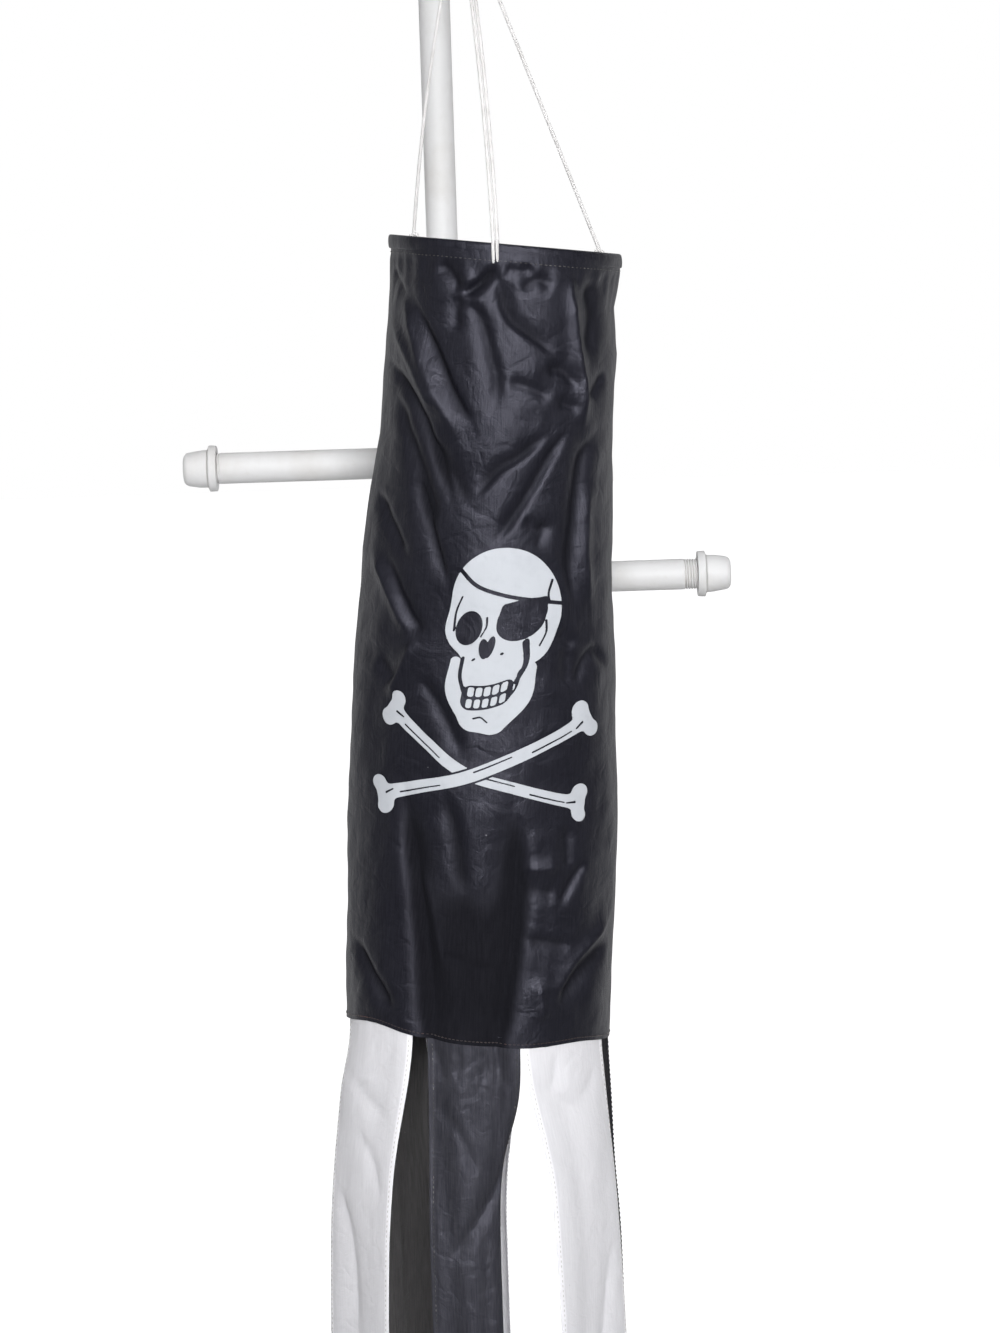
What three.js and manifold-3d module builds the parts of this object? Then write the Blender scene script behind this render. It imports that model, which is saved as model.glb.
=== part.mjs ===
// A small windsock that hangs from a pole made of threaded pipe.
// Millimetres. +Z is up, -Y is the front, +X is the viewer's right.
// The origin is the centre of the floor flange's underside, on the mast's axis.
import * as THREE from "three";
import { mergeVertices } from "three/addons/utils/BufferGeometryUtils.js";
import Module from "manifold-3d";

const wasm = await Module();
wasm.setup();

// ---- Driving dimensions ----
const gap = 0.3; // air between pieces that touch
const round = 20; // sides of a turned piece
const hoopSides = 32; // sides of the hoop and the sock

// Half-inch pipe: radii with its paint, and how far each thread goes into a fitting.
const pipe = { outer: 10.8, inner: 7.9, grip: 11.5 };
// Banded malleable fitting: centre to end, body radius, band radius and width.
const fitting = { reach: 28.4, body: 13.4, band: 16.2, bandWidth: 6 };
const cap = { length: 23.5, body: 13.2, tip: 11.8, band: 16.2, bandWidth: 5.5, bore: 13.5 };
const flange = { radius: 44.5, plate: 8, hub: 17.5, height: 28, floor: 4, screw: 3.5, circle: 33 };

// Pipe lengths.
const lowerMastLength = 914.4;
const nippleLength = 50.8;
const upperMastLength = 457.2;
const boomPast = 30; // boom beyond the hanging point
const leftArmEnd = 186; // cap's end from the mast's axis
const rightArmEnd = 194.6;

// Heights up the mast.
const seat = fitting.reach - pipe.grip; // fitting's centre to the pipe end inside it
const lowerMastFoot = flange.floor + gap;
const lowerTeeHeight = lowerMastFoot + lowerMastLength + seat;
const upperTeeHeight = lowerTeeHeight + nippleLength + 2 * seat;
const boomHeight = upperTeeHeight + upperMastLength + 2 * seat;

// Everything that hangs is on the vertical line through this point.
const hang = { x: 21, y: -134 };

// Hanging hardware: ring radius and wire radius of each link.
const eyeBolt = { drop: 35, ring: 8, wire: 2, shank: 2.5 };
const hangerRing = { ring: 9, wire: 1.5 };
const swivelEye = { ring: 7, wire: 1.6, stem: 1.8, head: 2.9 };
const bridleRing = { ring: 8.5, wire: 1.25 };
const hook = { wire: 1.7, bow: 6, collar: 5, collarHeight: 9, leg: 17, root: 2.5, shoulder: 0.8 };
const gate = { wire: 0.8, half: 2.4, length: 10.5, lug: 1.2, drop: 5 };
const nut = { across: 8, thick: 4 };
const washer = { radius: 6.5, thick: 1.2 };
const knot = { radius: 4.2, height: 10, neck: 2.6 };

// Hoop and sock.
const hoop = { x: 42.7, radius: 73.6, wire: 1.5, tilt: 6.7 };
const hoopHeight = lowerTeeHeight + 229.1;
const sleeve = { outer: 76.2, inner: 71, up: 4.5, down: 5, wall: 0.8 };
const cord = { radius: 1.15 };
const sock = { wall: 1.2, bottomX: 8.1, drop: 516, halfWidth: 87.6, around: 479, tilt: 6 };
const tail = { root: 64, tip: 54, length: 500, thick: 1.2, pitch: 80, first: -3.6 };

// ---- Materials ----
function finish(color, roughness, metalness) {
  return new THREE.MeshStandardMaterial({ color, roughness, metalness });
}
const whitePaint = finish(0xe9e9eb, 0.5, 0);
const zinc = finish(0xb9bcc0, 0.35, 1);
const springSteel = finish(0x8e9196, 0.4, 1);
const whiteCord = finish(0xf0f0f0, 0.9, 0);
const blackNylon = finish(0x2b2d33, 0.6, 0);
const whiteNylon = finish(0xdfe0e6, 0.6, 0);

// ---- Solids ----
// A closed geometry as a solid that can be cut and joined.
function solidOf(geometry) {
  const bare = geometry.clone();
  bare.deleteAttribute("normal");
  bare.deleteAttribute("uv");
  const merged = mergeVertices(bare, 1e-4);
  const vertProperties = merged.attributes.position.array;
  const triVerts = new Uint32Array(merged.index.array);
  return new wasm.Manifold(new wasm.Mesh({ numProp: 3, vertProperties, triVerts }));
}

// A solid back as a geometry.
function geometryOf(solid) {
  const made = solid.getMesh();
  const geometry = new THREE.BufferGeometry();
  geometry.setAttribute("position", new THREE.BufferAttribute(made.vertProperties, 3));
  geometry.setIndex(new THREE.BufferAttribute(made.triVerts, 1));
  return geometry;
}

function joined(geometries) {
  const solids = geometries.map(solidOf);
  return solids.reduce((sum, next) => sum.add(next));
}

function cut(solid, geometries) {
  return geometries.map(solidOf).reduce((rest, next) => rest.subtract(next), solid);
}

// A turned piece about Z: the profile is a list of [radius, height], anticlockwise.
function turned(profile, sides = round) {
  const points = profile.map(([radius, height]) => new THREE.Vector2(radius, height));
  return new THREE.LatheGeometry(points, sides).rotateX(Math.PI / 2);
}

// A plain rod about Z from one height to another.
function rod(radius, low, high, sides = round) {
  return turned([[0, low], [radius, low], [radius, high], [0, high]], sides);
}

// A pipe about Z.
function tube(inner, outer, low, high) {
  return turned([[inner, low], [outer, low], [outer, high], [inner, high], [inner, low]]);
}

// A welded ring about Y, so it stands in the XZ plane.
function ring(radius, wire) {
  return new THREE.TorusGeometry(radius, wire, 8, round).rotateX(Math.PI / 2);
}

// A round bar along a path of points.
function bar(points, radius, steps, tension = 0.5) {
  const path = new THREE.CatmullRomCurve3(points, false, "catmullrom", tension);
  const section = new THREE.Shape();
  section.absarc(0, 0, radius, 0, 2 * Math.PI);
  const settings = { steps, curveSegments: 4, bevelEnabled: false, extrudePath: path };
  return new THREE.ExtrudeGeometry(section, settings);
}

function mesh(name, geometry, material, x = 0, y = 0, z = 0) {
  const made = new THREE.Mesh(geometry, material);
  made.name = name;
  made.position.set(x, y, z);
  return made;
}

// ---- Pole ----
function floorFlange() {
  const { radius, plate, hub, height, floor, screw, circle } = flange;
  const socket = pipe.outer + gap;
  const body = turned([
    [0, 0], [radius, 0], [radius, plate], [hub + 2, plate], [hub, plate + 4],
    [hub, height], [socket, height], [socket, floor], [0, floor],
  ]);
  const holes = [45, 135, 225, 315].map((degrees) => {
    const turn = THREE.MathUtils.degToRad(degrees);
    const hole = rod(screw, -1, plate + 1, 12);
    return hole.translate(circle * Math.cos(turn), circle * Math.sin(turn), 0);
  });
  return geometryOf(cut(solidOf(body), holes));
}

// One leg of a fitting, from its centre up +Z, with its band.
function fittingLeg() {
  const { reach, body, band, bandWidth } = fitting;
  return turned([
    [0, 0], [body, 0], [body, reach - bandWidth - 1], [band, reach - bandWidth],
    [band, reach - 0.8], [band - 0.8, reach], [0, reach],
  ]);
}

// The threaded socket and the waterway of one leg.
function fittingBore() {
  const socket = pipe.outer + gap;
  const stop = seat - gap;
  return turned([[0, -1], [pipe.inner, -1], [pipe.inner, stop], [socket, stop],
    [socket, fitting.reach + 1], [0, fitting.reach + 1]]);
}

// A fitting with one leg along each of the given directions.
function pipeFitting(directions) {
  const up = new THREE.Vector3(0, 0, 1);
  const turns = directions.map((way) => new THREE.Quaternion().setFromUnitVectors(up, way));
  const centre = new THREE.SphereGeometry(fitting.body, round, round / 2);
  const legs = turns.map((turn) => fittingLeg().applyQuaternion(turn));
  const bores = turns.map((turn) => fittingBore().applyQuaternion(turn));
  const isElbow = directions.length === 2; // its outer corner is rounded by a ball
  return geometryOf(cut(joined(isElbow ? [centre, ...legs] : legs), bores));
}

// A screw cap about Z: its open end is at zero and its domed end at its length.
function screwCap() {
  const { length, body, tip, band, bandWidth, bore } = cap;
  const socket = pipe.outer + gap;
  const dome = 4;
  const arc = [20, 45, 70].map((degrees) => {
    const turn = THREE.MathUtils.degToRad(degrees);
    return [tip - dome + dome * Math.cos(turn), length - dome + dome * Math.sin(turn)];
  });
  return turned([
    [0, bore], [socket, bore], [socket, 0], [band - 0.8, 0], [band, 0.8],
    [band, bandWidth - 0.8], [band - 0.8, bandWidth], [body, bandWidth + 0.8],
    [tip, length - dome], ...arc, [tip - dome, length], [0, length],
  ]);
}

// A stub arm and its cap, along +Z of a group that is turned to its side.
function stubArm(side, end, height, way) {
  const group = new THREE.Group();
  const capFoot = end - cap.length;
  const pipeEnd = capFoot + pipe.grip;
  group.add(mesh(side + "_arm", tube(pipe.inner, pipe.outer, seat, pipeEnd), whitePaint));
  group.add(mesh(side + "_arm_cap", screwCap(), whitePaint, 0, 0, capFoot));
  group.rotation.y = (way * Math.PI) / 2;
  group.position.z = height;
  return group;
}

// The boom lies along +X of its group, which is turned towards the hanging line.
function boomGroup() {
  const group = new THREE.Group();
  const reach = Math.hypot(hang.x, hang.y);
  const end = reach + boomPast;
  const along = tube(pipe.inner, pipe.outer, seat, end).rotateY(Math.PI / 2);
  const hole = rod(eyeBolt.shank + gap, -20, 20, 12).translate(reach, 0, 0);
  const cover = screwCap().rotateY(Math.PI / 2);
  const elbow = pipeFitting([new THREE.Vector3(1, 0, 0), new THREE.Vector3(0, 0, -1)]);
  group.add(mesh("boom", geometryOf(cut(solidOf(along), [hole])), whitePaint));
  group.add(mesh("boom_cap", cover, whitePaint, end - pipe.grip));
  group.add(mesh("top_elbow", elbow, whitePaint));
  group.position.z = boomHeight;
  group.rotation.z = Math.atan2(hang.y, hang.x);
  return group;
}

function pole() {
  const group = new THREE.Group();
  const up = new THREE.Vector3(0, 0, 1);
  const down = new THREE.Vector3(0, 0, -1);
  const lowerTee = pipeFitting([up, down, new THREE.Vector3(1, 0, 0)]);
  const upperTee = pipeFitting([up, down, new THREE.Vector3(-1, 0, 0)]);
  const mast = (length) => tube(pipe.inner, pipe.outer, 0, length);
  group.add(mesh("floor_flange", floorFlange(), whitePaint));
  group.add(mesh("lower_mast", mast(lowerMastLength), whitePaint, 0, 0, lowerMastFoot));
  group.add(mesh("lower_tee", lowerTee, whitePaint, 0, 0, lowerTeeHeight));
  group.add(mesh("mast_nipple", mast(nippleLength), whitePaint, 0, 0, lowerTeeHeight + seat));
  group.add(mesh("upper_tee", upperTee, whitePaint, 0, 0, upperTeeHeight));
  group.add(mesh("upper_mast", mast(upperMastLength), whitePaint, 0, 0, upperTeeHeight + seat));
  group.add(boomGroup());
  group.add(stubArm("left", leftArmEnd, upperTeeHeight, -1));
  group.add(stubArm("right", rightArmEnd, lowerTeeHeight, 1));
  return group;
}

// ---- Hanging hardware: heights below the boom, each link resting on the one above ----
const eyeHeight = boomHeight - eyeBolt.drop;
const ringHeight = eyeHeight - eyeBolt.ring + eyeBolt.wire + gap + hangerRing.wire - hangerRing.ring;
const swivelHeight = ringHeight - hangerRing.ring + hangerRing.wire + gap + swivelEye.wire
  - swivelEye.ring;
const collarTop = swivelHeight - swivelEye.ring - swivelEye.wire - gap;
const collarFoot = collarTop - hook.collarHeight;
const bowHeight = collarFoot - hook.leg; // centre of the hook's bow
const bridleRingHeight = bowHeight - hook.bow + hook.wire + gap + bridleRing.wire
  - bridleRing.ring;
const knotTop = bridleRingHeight - bridleRing.ring - bridleRing.wire - gap;
const apex = knotTop - knot.height - gap; // where the bridle cords end

function hexNut() {
  const hex = rod(nut.across / Math.sqrt(3), 0, nut.thick, 6);
  return geometryOf(cut(solidOf(hex), [rod(eyeBolt.shank + gap, -1, nut.thick + 1, 12)]));
}

function flatWasher() {
  return tube(eyeBolt.shank + gap, washer.radius, 0, washer.thick);
}

// Eye bolt: a closed eye in the XZ plane with a shank that goes up through the boom.
function eyeBoltSolid() {
  const { drop, ring: radius, wire, shank } = eyeBolt;
  const top = drop + pipe.outer + washer.thick + nut.thick + 5;
  return geometryOf(joined([ring(radius, wire), rod(shank, radius, top, 16)]));
}

// Swivel: an eye in the XZ plane over a stem whose head turns under the hook's collar.
function swivelSolid() {
  const { ring: radius, wire, stem, head } = swivelEye;
  const shoulder = -radius - wire;
  const headTop = shoulder - 2 * gap - hook.collarHeight;
  const post = turned([
    [0, headTop - 2], [head, headTop - 2], [head, headTop], [stem, headTop],
    [stem, shoulder], [head, shoulder], [head, shoulder + 1], [1.2, shoulder + 2.5],
    [0, shoulder + 2.5],
  ], 16);
  return geometryOf(joined([ring(radius, wire), post]));
}

// Snap hook in the YZ plane: collar, spine and bow at the back, a short arm with the gate's lug
// in front. Zero is the centre of the bow.
function snapHook() {
  const { wire, bow, collar, collarHeight, leg, root, shoulder } = hook;
  const v = (y, z) => new THREE.Vector3(0, y, z);
  const collarEnd = leg + collarHeight;
  const collarBody = turned([[0, leg], [collar, leg], [collar, collarEnd], [0, collarEnd]], 16);
  const bend = [0, 30, 60, 90, 120, 150, 180].map((degrees) => {
    const turn = THREE.MathUtils.degToRad(degrees);
    return v(bow * Math.cos(turn), -bow * Math.sin(turn));
  });
  const spineTop = [v(root, leg + 4), v(bow - shoulder, leg - 0.5), v(bow, leg - 4), v(bow, bow)];
  const spine = bar([...spineTop, ...bend], wire, 24);
  const arm = bar([v(-root, leg + 4), v(-bow + shoulder, leg - 0.5), v(-bow, leg - 2.5)], wire, 6);
  const lug = new THREE.BoxGeometry(2 * gate.lug, 3.6, 6).translate(0, -bow, leg - 4);
  const bore = rod(swivelEye.stem + gap, leg - 1, collarEnd + 1, 16);
  const pinHole = rod(gate.wire + gap, -5, 5, 12);
  pinHole.rotateY(Math.PI / 2).translate(0, -bow, leg - gate.drop);
  return geometryOf(cut(joined([collarBody, spine, arm, lug]), [bore, pinHole]));
}

// Wire gate: a U of spring wire whose two ends turn in the lug. Zero is the pivot.
function wireGate() {
  const { wire, half, length } = gate;
  const v = (x, z) => new THREE.Vector3(x, 0, z);
  const side = (way) => [
    v(way * 0.35, 0),
    v(way * (half - 0.7), 0),
    v(way * half, -0.9),
    v(way * half, -0.6 * length),
  ];
  const foot = [v(-0.7 * half, 1 - length), v(0, 0.2 - length), v(0.7 * half, 1 - length)];
  return bar([...side(-1), ...foot, ...side(1).reverse()], wire, 24, 0.4);
}

function hardware() {
  const group = new THREE.Group();
  const boltTop = eyeBolt.drop + pipe.outer;
  const lowerWasherFoot = eyeBolt.drop - pipe.outer - gap - washer.thick;
  group.add(mesh("eye_bolt", eyeBoltSolid(), zinc, 0, 0, eyeHeight));
  group.add(mesh("upper_washer", flatWasher(), zinc, 0, 0, eyeHeight + boltTop + gap));
  group.add(mesh("upper_nut", hexNut(), zinc, 0, 0, eyeHeight + boltTop + washer.thick + 2 * gap));
  group.add(mesh("lower_washer", flatWasher(), zinc, 0, 0, eyeHeight + lowerWasherFoot));
  group.add(mesh("lower_nut", hexNut(), zinc, 0, 0, eyeHeight + lowerWasherFoot - gap - nut.thick));
  const hangerSolid = ring(hangerRing.ring, hangerRing.wire).rotateZ(Math.PI / 2);
  group.add(mesh("hanger_ring", hangerSolid, zinc, 0, 0, ringHeight));
  group.add(mesh("swivel_eye", swivelSolid(), zinc, 0, 0, swivelHeight));
  group.add(mesh("snap_hook", snapHook(), zinc, 0, 0, bowHeight));
  const gateHeight = bowHeight + hook.leg - gate.drop;
  group.add(mesh("wire_gate", wireGate(), springSteel, 0, -hook.bow, gateHeight));
  const bridleRingSolid = ring(bridleRing.ring, bridleRing.wire);
  group.add(mesh("bridle_ring", bridleRingSolid, zinc, 0, 0, bridleRingHeight));
  const knotShape = turned([
    [0, 0],
    [knot.neck, 0],
    [knot.radius, 2.5],
    [knot.radius, knot.height - 3],
    [knot.neck, knot.height],
    [0, knot.height],
  ], 12);
  group.add(mesh("bridle_knot", knotShape, whiteCord, 0, 0, knotTop - knot.height));
  group.position.set(hang.x, hang.y, 0);
  return group;
}

// ---- Windsock ----
// Where a point at a bearing from the front, anticlockwise from above being negative, lies on the
// tilted hoop, at a radius and at a height above the hoop's plane.
function onHoop(bearing, radius, lift) {
  const turn = THREE.MathUtils.degToRad(bearing);
  const away = radius * Math.sin(turn);
  const fall = Math.tan(THREE.MathUtils.degToRad(hoop.tilt)) * away;
  return new THREE.Vector3(hoop.x + away, hang.y - radius * Math.cos(turn), hoopHeight - fall + lift);
}

// The bridle cords: bearing on the hoop, sideways step there, place at the apex, and the bow of
// each cord's middle, in millimetres.
const bridle = [
  { name: "bridle_cord_left", bearing: -125, step: 0, top: [-1.6, 1.4], bow: [-4, 2] },
  { name: "bridle_cord_right", bearing: 121, step: 0, top: [1.6, 1.4], bow: [0, 1] },
  { name: "bridle_cord_front_a", bearing: -5, step: -1.4, top: [-1.4, -1.4], bow: [2.5, 0] },
  { name: "bridle_cord_front_b", bearing: -5, step: 1.4, top: [1.4, -1.4], bow: [2.5, 0] },
];

function bridleCord({ bearing, step, top, bow }) {
  const foot = onHoop(bearing, hoop.radius, sleeve.up + gap + 0.4);
  foot.x += step;
  const end = new THREE.Vector3(hang.x + top[0], hang.y + top[1], apex);
  const points = [0, 0.25, 0.5, 0.75, 1].map((t) => {
    const swell = 4 * t * (1 - t);
    const point = foot.clone().lerp(end, t);
    return point.add(new THREE.Vector3(bow[0] * swell, bow[1] * swell, 0));
  });
  return bar(points, cord.radius, 12);
}

// The half depth that keeps an oval of the given half width at the sock's distance around.
function halfDepth(halfWidth) {
  let depth = halfWidth;
  for (let turn = 0; turn < 40; turn += 1) {
    const sum = 3 * (halfWidth + depth);
    const root = Math.sqrt((3 * halfWidth + depth) * (halfWidth + 3 * depth));
    depth += (sock.around / Math.PI - (sum - root)) * 0.5;
  }
  return depth;
}

// A point of the sock: along is 0 at the hoop and 1 at the bottom hem, turn is from the front.
function onSock(turn, along, inset) {
  const swell = THREE.MathUtils.smoothstep(along, 0.05, 0.75);
  const wide = THREE.MathUtils.lerp(74.6, sock.halfWidth, swell);
  const deep = halfDepth(wide);
  const away = (wide - inset) * Math.sin(turn);
  const tilt = THREE.MathUtils.degToRad(THREE.MathUtils.lerp(hoop.tilt, sock.tilt, along));
  const middle = THREE.MathUtils.lerp(hoop.x, sock.bottomX, along);
  const start = sleeve.down + gap + 0.2;
  const height = hoopHeight - start - along * (sock.drop - start) - Math.tan(tilt) * away;
  return new THREE.Vector3(middle + away, hang.y - (deep - inset) * Math.cos(turn), height);
}

// The tube of cloth: a turned tube whose points are moved onto the sock.
function sockTube() {
  const rows = 7;
  const heights = Array.from({ length: rows + 1 }, (_, row) => row / rows);
  const outer = heights.map((height) => [1, height]);
  const inner = heights.map((height) => [0.5, height]).reverse();
  const shape = turned([...outer, ...inner, outer[0]], hoopSides);
  const place = shape.attributes.position;
  for (let i = 0; i < place.count; i += 1) {
    const turn = Math.atan2(place.getX(i), -place.getY(i));
    const isInner = Math.hypot(place.getX(i), place.getY(i)) < 0.75;
    const point = onSock(turn, 1 - place.getZ(i), isInner ? sock.wall : 0);
    place.setXYZ(i, point.x, point.y, point.z);
  }
  return shape;
}

// The hem: a folded strip round the hoop, open along its inside lower edge where the fold ends.
function hemSleeve() {
  const { outer, inner, up, down, wall } = sleeve;
  return turned([
    [inner + wall, -down + 2], [inner + wall, up - wall], [outer - wall, up - wall],
    [outer - wall, -down + wall], [inner + 1.6, -down + wall], [inner + 1.6, -down],
    [outer - 0.5, -down], [outer, -down + 1.5], [outer, up - 1.5], [outer - 1.2, up],
    [inner + 1.2, up], [inner, up - 1.2], [inner, -down + 2], [inner + wall, -down + 2],
  ], hoopSides);
}

// The bearing of the oval's point at a distance along the bottom hem from its front.
function hemTurn(distance) {
  const wide = sock.halfWidth;
  const deep = halfDepth(wide);
  const steps = 400;
  const sense = Math.sign(distance);
  let turn = 0;
  for (let i = 0; i < steps; i += 1) {
    const speed = Math.hypot(wide * Math.cos(turn), deep * Math.sin(turn));
    turn += (sense * Math.abs(distance)) / steps / speed;
  }
  return turn;
}

// A tail: a strip whose root follows the hem and which hangs and flattens below it.
function tailStrip(centre, lean) {
  const columns = 4;
  const rows = 8;
  const shape = new THREE.BoxGeometry(1, 1, 1, columns, rows, 1);
  const place = shape.attributes.position;
  const middle = onSock(hemTurn(centre), 1, 0);
  const side = onSock(hemTurn(centre + 1), 1, 0).sub(onSock(hemTurn(centre - 1), 1, 0)).normalize();
  const out = new THREE.Vector3(side.y, -side.x, 0).normalize();
  for (let i = 0; i < place.count; i += 1) {
    const across = place.getX(i);
    const along = 0.5 - place.getY(i);
    const inset = place.getZ(i) < 0 ? tail.thick : 0;
    const width = THREE.MathUtils.lerp(tail.root, tail.tip, along);
    const onArc = onSock(hemTurn(centre + across * width), 1, inset);
    const onFlat = middle.clone().addScaledVector(side, across * width).addScaledVector(out, -inset);
    const flatness = THREE.MathUtils.smoothstep(along, 0, 0.6) * 0.7;
    const point = onArc.lerp(onFlat, flatness);
    const flare = lean * Math.sin(Math.min(along * 2, 1) * 0.5 * Math.PI);
    point.addScaledVector(out, flare);
    point.z -= gap + 0.2 + along * tail.length;
    place.setXYZ(i, point.x, point.y, point.z);
  }
  return shape;
}

const tails = [
  { name: "tail_front", material: blackNylon, lean: 1 },
  { name: "tail_front_right", material: whiteNylon, lean: 5 },
  { name: "tail_back_right", material: blackNylon, lean: 1 },
  { name: "tail_back", material: whiteNylon, lean: 0 },
  { name: "tail_back_left", material: blackNylon, lean: 2 },
  { name: "tail_front_left", material: whiteNylon, lean: 8 },
];

function windsock() {
  const group = new THREE.Group();
  const hoopGroup = new THREE.Group();
  const hoopWire = new THREE.TorusGeometry(hoop.radius, hoop.wire, 6, hoopSides);
  hoopGroup.add(mesh("hoop_wire", hoopWire, springSteel));
  hoopGroup.add(mesh("hem_sleeve", hemSleeve(), blackNylon));
  hoopGroup.position.set(hoop.x, hang.y, hoopHeight);
  hoopGroup.rotation.y = THREE.MathUtils.degToRad(hoop.tilt);
  group.add(hoopGroup);
  bridle.forEach((one) => group.add(mesh(one.name, bridleCord(one), whiteCord)));
  group.add(mesh("sock_body", sockTube(), blackNylon));
  tails.forEach(({ name, material, lean }, index) => {
    const place = index <= 3 ? index : index - tails.length;
    group.add(mesh(name, tailStrip(tail.first + place * tail.pitch, lean), material));
  });
  return group;
}

const windsockWithPole = new THREE.Group();
windsockWithPole.add(pole(), hardware(), windsock());
export default windsockWithPole;
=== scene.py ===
import math

import bpy
import numpy as np
from mathutils import Matrix, Vector


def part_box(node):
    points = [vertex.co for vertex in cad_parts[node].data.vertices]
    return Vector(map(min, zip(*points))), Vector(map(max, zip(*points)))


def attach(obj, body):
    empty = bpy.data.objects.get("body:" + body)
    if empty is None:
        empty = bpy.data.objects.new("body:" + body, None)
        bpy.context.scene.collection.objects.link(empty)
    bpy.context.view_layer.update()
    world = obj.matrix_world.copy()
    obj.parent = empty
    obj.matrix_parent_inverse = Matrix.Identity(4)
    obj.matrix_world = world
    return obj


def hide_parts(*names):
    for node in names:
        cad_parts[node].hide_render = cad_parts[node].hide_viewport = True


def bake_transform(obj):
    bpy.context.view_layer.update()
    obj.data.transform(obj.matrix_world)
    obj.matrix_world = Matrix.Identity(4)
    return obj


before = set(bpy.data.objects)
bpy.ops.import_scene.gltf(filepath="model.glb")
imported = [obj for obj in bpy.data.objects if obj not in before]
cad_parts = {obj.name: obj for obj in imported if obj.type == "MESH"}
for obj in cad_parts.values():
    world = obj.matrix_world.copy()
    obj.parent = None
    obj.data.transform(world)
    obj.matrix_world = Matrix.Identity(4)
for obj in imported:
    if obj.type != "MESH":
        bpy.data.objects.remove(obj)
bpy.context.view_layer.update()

scene = bpy.context.scene
scene.view_settings.view_transform = "Standard"
print("frame loaded")

# places that the frame gives
gap = 0.0003


def middle(node):
    low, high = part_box(node)
    return (np.array(low) + np.array(high)) / 2


hoopCentre = middle("hoop_wire")
hang = middle("bridle_ring")
lowerTeeHeight = middle("right_arm")[2]
upperTeeHeight = middle("left_arm")[2]
boomHeight = middle("boom")[2]
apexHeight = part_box("bridle_knot")[0][2] - gap


# ---- arithmetic on whole arrays ----
def lerp(a, b, t):
    return a + (b - a) * t


def smooth(t, low=0.0, high=1.0):
    # zero below low, one above high, and 3t^2 - 2t^3 in between
    t = np.clip((np.asarray(t, float) - low) / (high - low), 0, 1)
    return t * t * (3 - 2 * t)


def unit(v):
    return v / np.maximum(np.linalg.norm(v, axis=-1, keepdims=True), 1e-12)


def wobble(a, b, seed, size):
    # a soft uneven value from -1 to 1: the mean of six slanted sine waves with seeded directions
    rng = np.random.default_rng(seed)
    total = 0
    for _ in range(6):
        fa, fb, phase = rng.uniform(-1, 1), rng.uniform(-1, 1), rng.uniform(0, 6.28)
        total = total + np.sin((fa * a + fb * b) * 6.28 / size + phase)
    return total / 6


# ---- meshes ----
def gridFaces(rows, columns, wrapColumns=False, wrapRows=False):
    # quads of points numbered row by row, and the (column, row) of each corner before wrapping
    r, c = np.meshgrid(
        np.arange(rows if wrapRows else rows - 1),
        np.arange(columns if wrapColumns else columns - 1),
        indexing="ij",
    )
    r = r.ravel()[:, None] + [0, 0, 1, 1]
    c = c.ravel()[:, None] + [0, 1, 1, 0]
    return (r % rows) * columns + c % columns, np.stack([c, r], -1).astype(float)


def endFans(sides, last, first, top):
    # triangles that close the ring at the start with the point first and the ring at last with top
    ring = np.arange(sides)
    after = (ring + 1) % sides
    low = np.stack([after, ring, np.full(sides, first)], -1)
    high = np.stack([ring + last, after + last, np.full(sides, top)], -1)
    return np.concatenate([low, high])


def volume(points, quads, tris):
    # a sixth of the sum of every triangle's triple product
    fans = np.concatenate([quads[:, [0, 1, 2]], quads[:, [0, 2, 3]], tris])
    a, b, c = (points[fans[:, i]] for i in range(3))
    return float(np.einsum("ij,ij->i", a, np.cross(b, c)).sum())


def newPiece(name, points, quads, tris=None, uv=None, closed=True, masks=None):
    # one mesh object; a closed one is turned so that its volume is positive
    points = np.asarray(points, float).reshape(-1, 3)
    tris = np.zeros((0, 3), int) if tris is None else np.asarray(tris)
    quads = np.asarray(quads).reshape(-1, 4)
    if closed and volume(points - points.mean(0), quads, tris) < 0:
        quads, tris = quads[:, ::-1], tris[:, ::-1]
        uv = None if uv is None else uv[:, ::-1]
    mesh = bpy.data.meshes.new(name)
    mesh.vertices.add(len(points))
    mesh.vertices.foreach_set("co", points.astype(np.float32).ravel())
    corners = np.concatenate([quads.ravel(), tris.ravel()])
    sizes = np.concatenate([np.full(len(quads), 4), np.full(len(tris), 3)])
    mesh.loops.add(len(corners))
    mesh.loops.foreach_set("vertex_index", corners.astype(np.int32))
    mesh.polygons.add(len(sizes))
    mesh.polygons.foreach_set("loop_start", (np.cumsum(sizes) - sizes).astype(np.int32))
    mesh.polygons.foreach_set("loop_total", sizes.astype(np.int32))
    mesh.polygons.foreach_set("use_smooth", np.ones(len(sizes), bool))
    if uv is not None:
        layer = mesh.uv_layers.new(name="clothMap")
        flat = np.concatenate([uv.reshape(-1, 2), np.zeros((len(tris) * 3, 2))])
        layer.data.foreach_set("uv", flat.astype(np.float32).ravel())
    for label, values in (masks or {}).items():
        attribute = mesh.attributes.new(label, "FLOAT", "POINT")
        attribute.data.foreach_set("value", np.asarray(values, np.float32).ravel())
    mesh.update(calc_edges=True)
    piece = bpy.data.objects.new(name, mesh)
    scene.collection.objects.link(piece)
    return piece


def settle(piece):
    # the piece's modifiers become its mesh
    graph = bpy.context.evaluated_depsgraph_get()
    made = bpy.data.meshes.new_from_object(piece.evaluated_get(graph))
    piece.modifiers.clear()
    old, piece.data = piece.data, made
    bpy.data.meshes.remove(old)
    return piece


def finishPiece(piece, material, body=None, nodes=()):
    piece.data.materials.clear()
    piece.data.materials.append(material)
    if body:
        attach(piece, body)
    if nodes:
        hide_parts(*nodes)
    return piece


def paintNode(node, material):
    # a node of the frame shown as it is
    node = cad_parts[node]
    node.data.materials.clear()
    node.data.materials.append(material)


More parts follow.
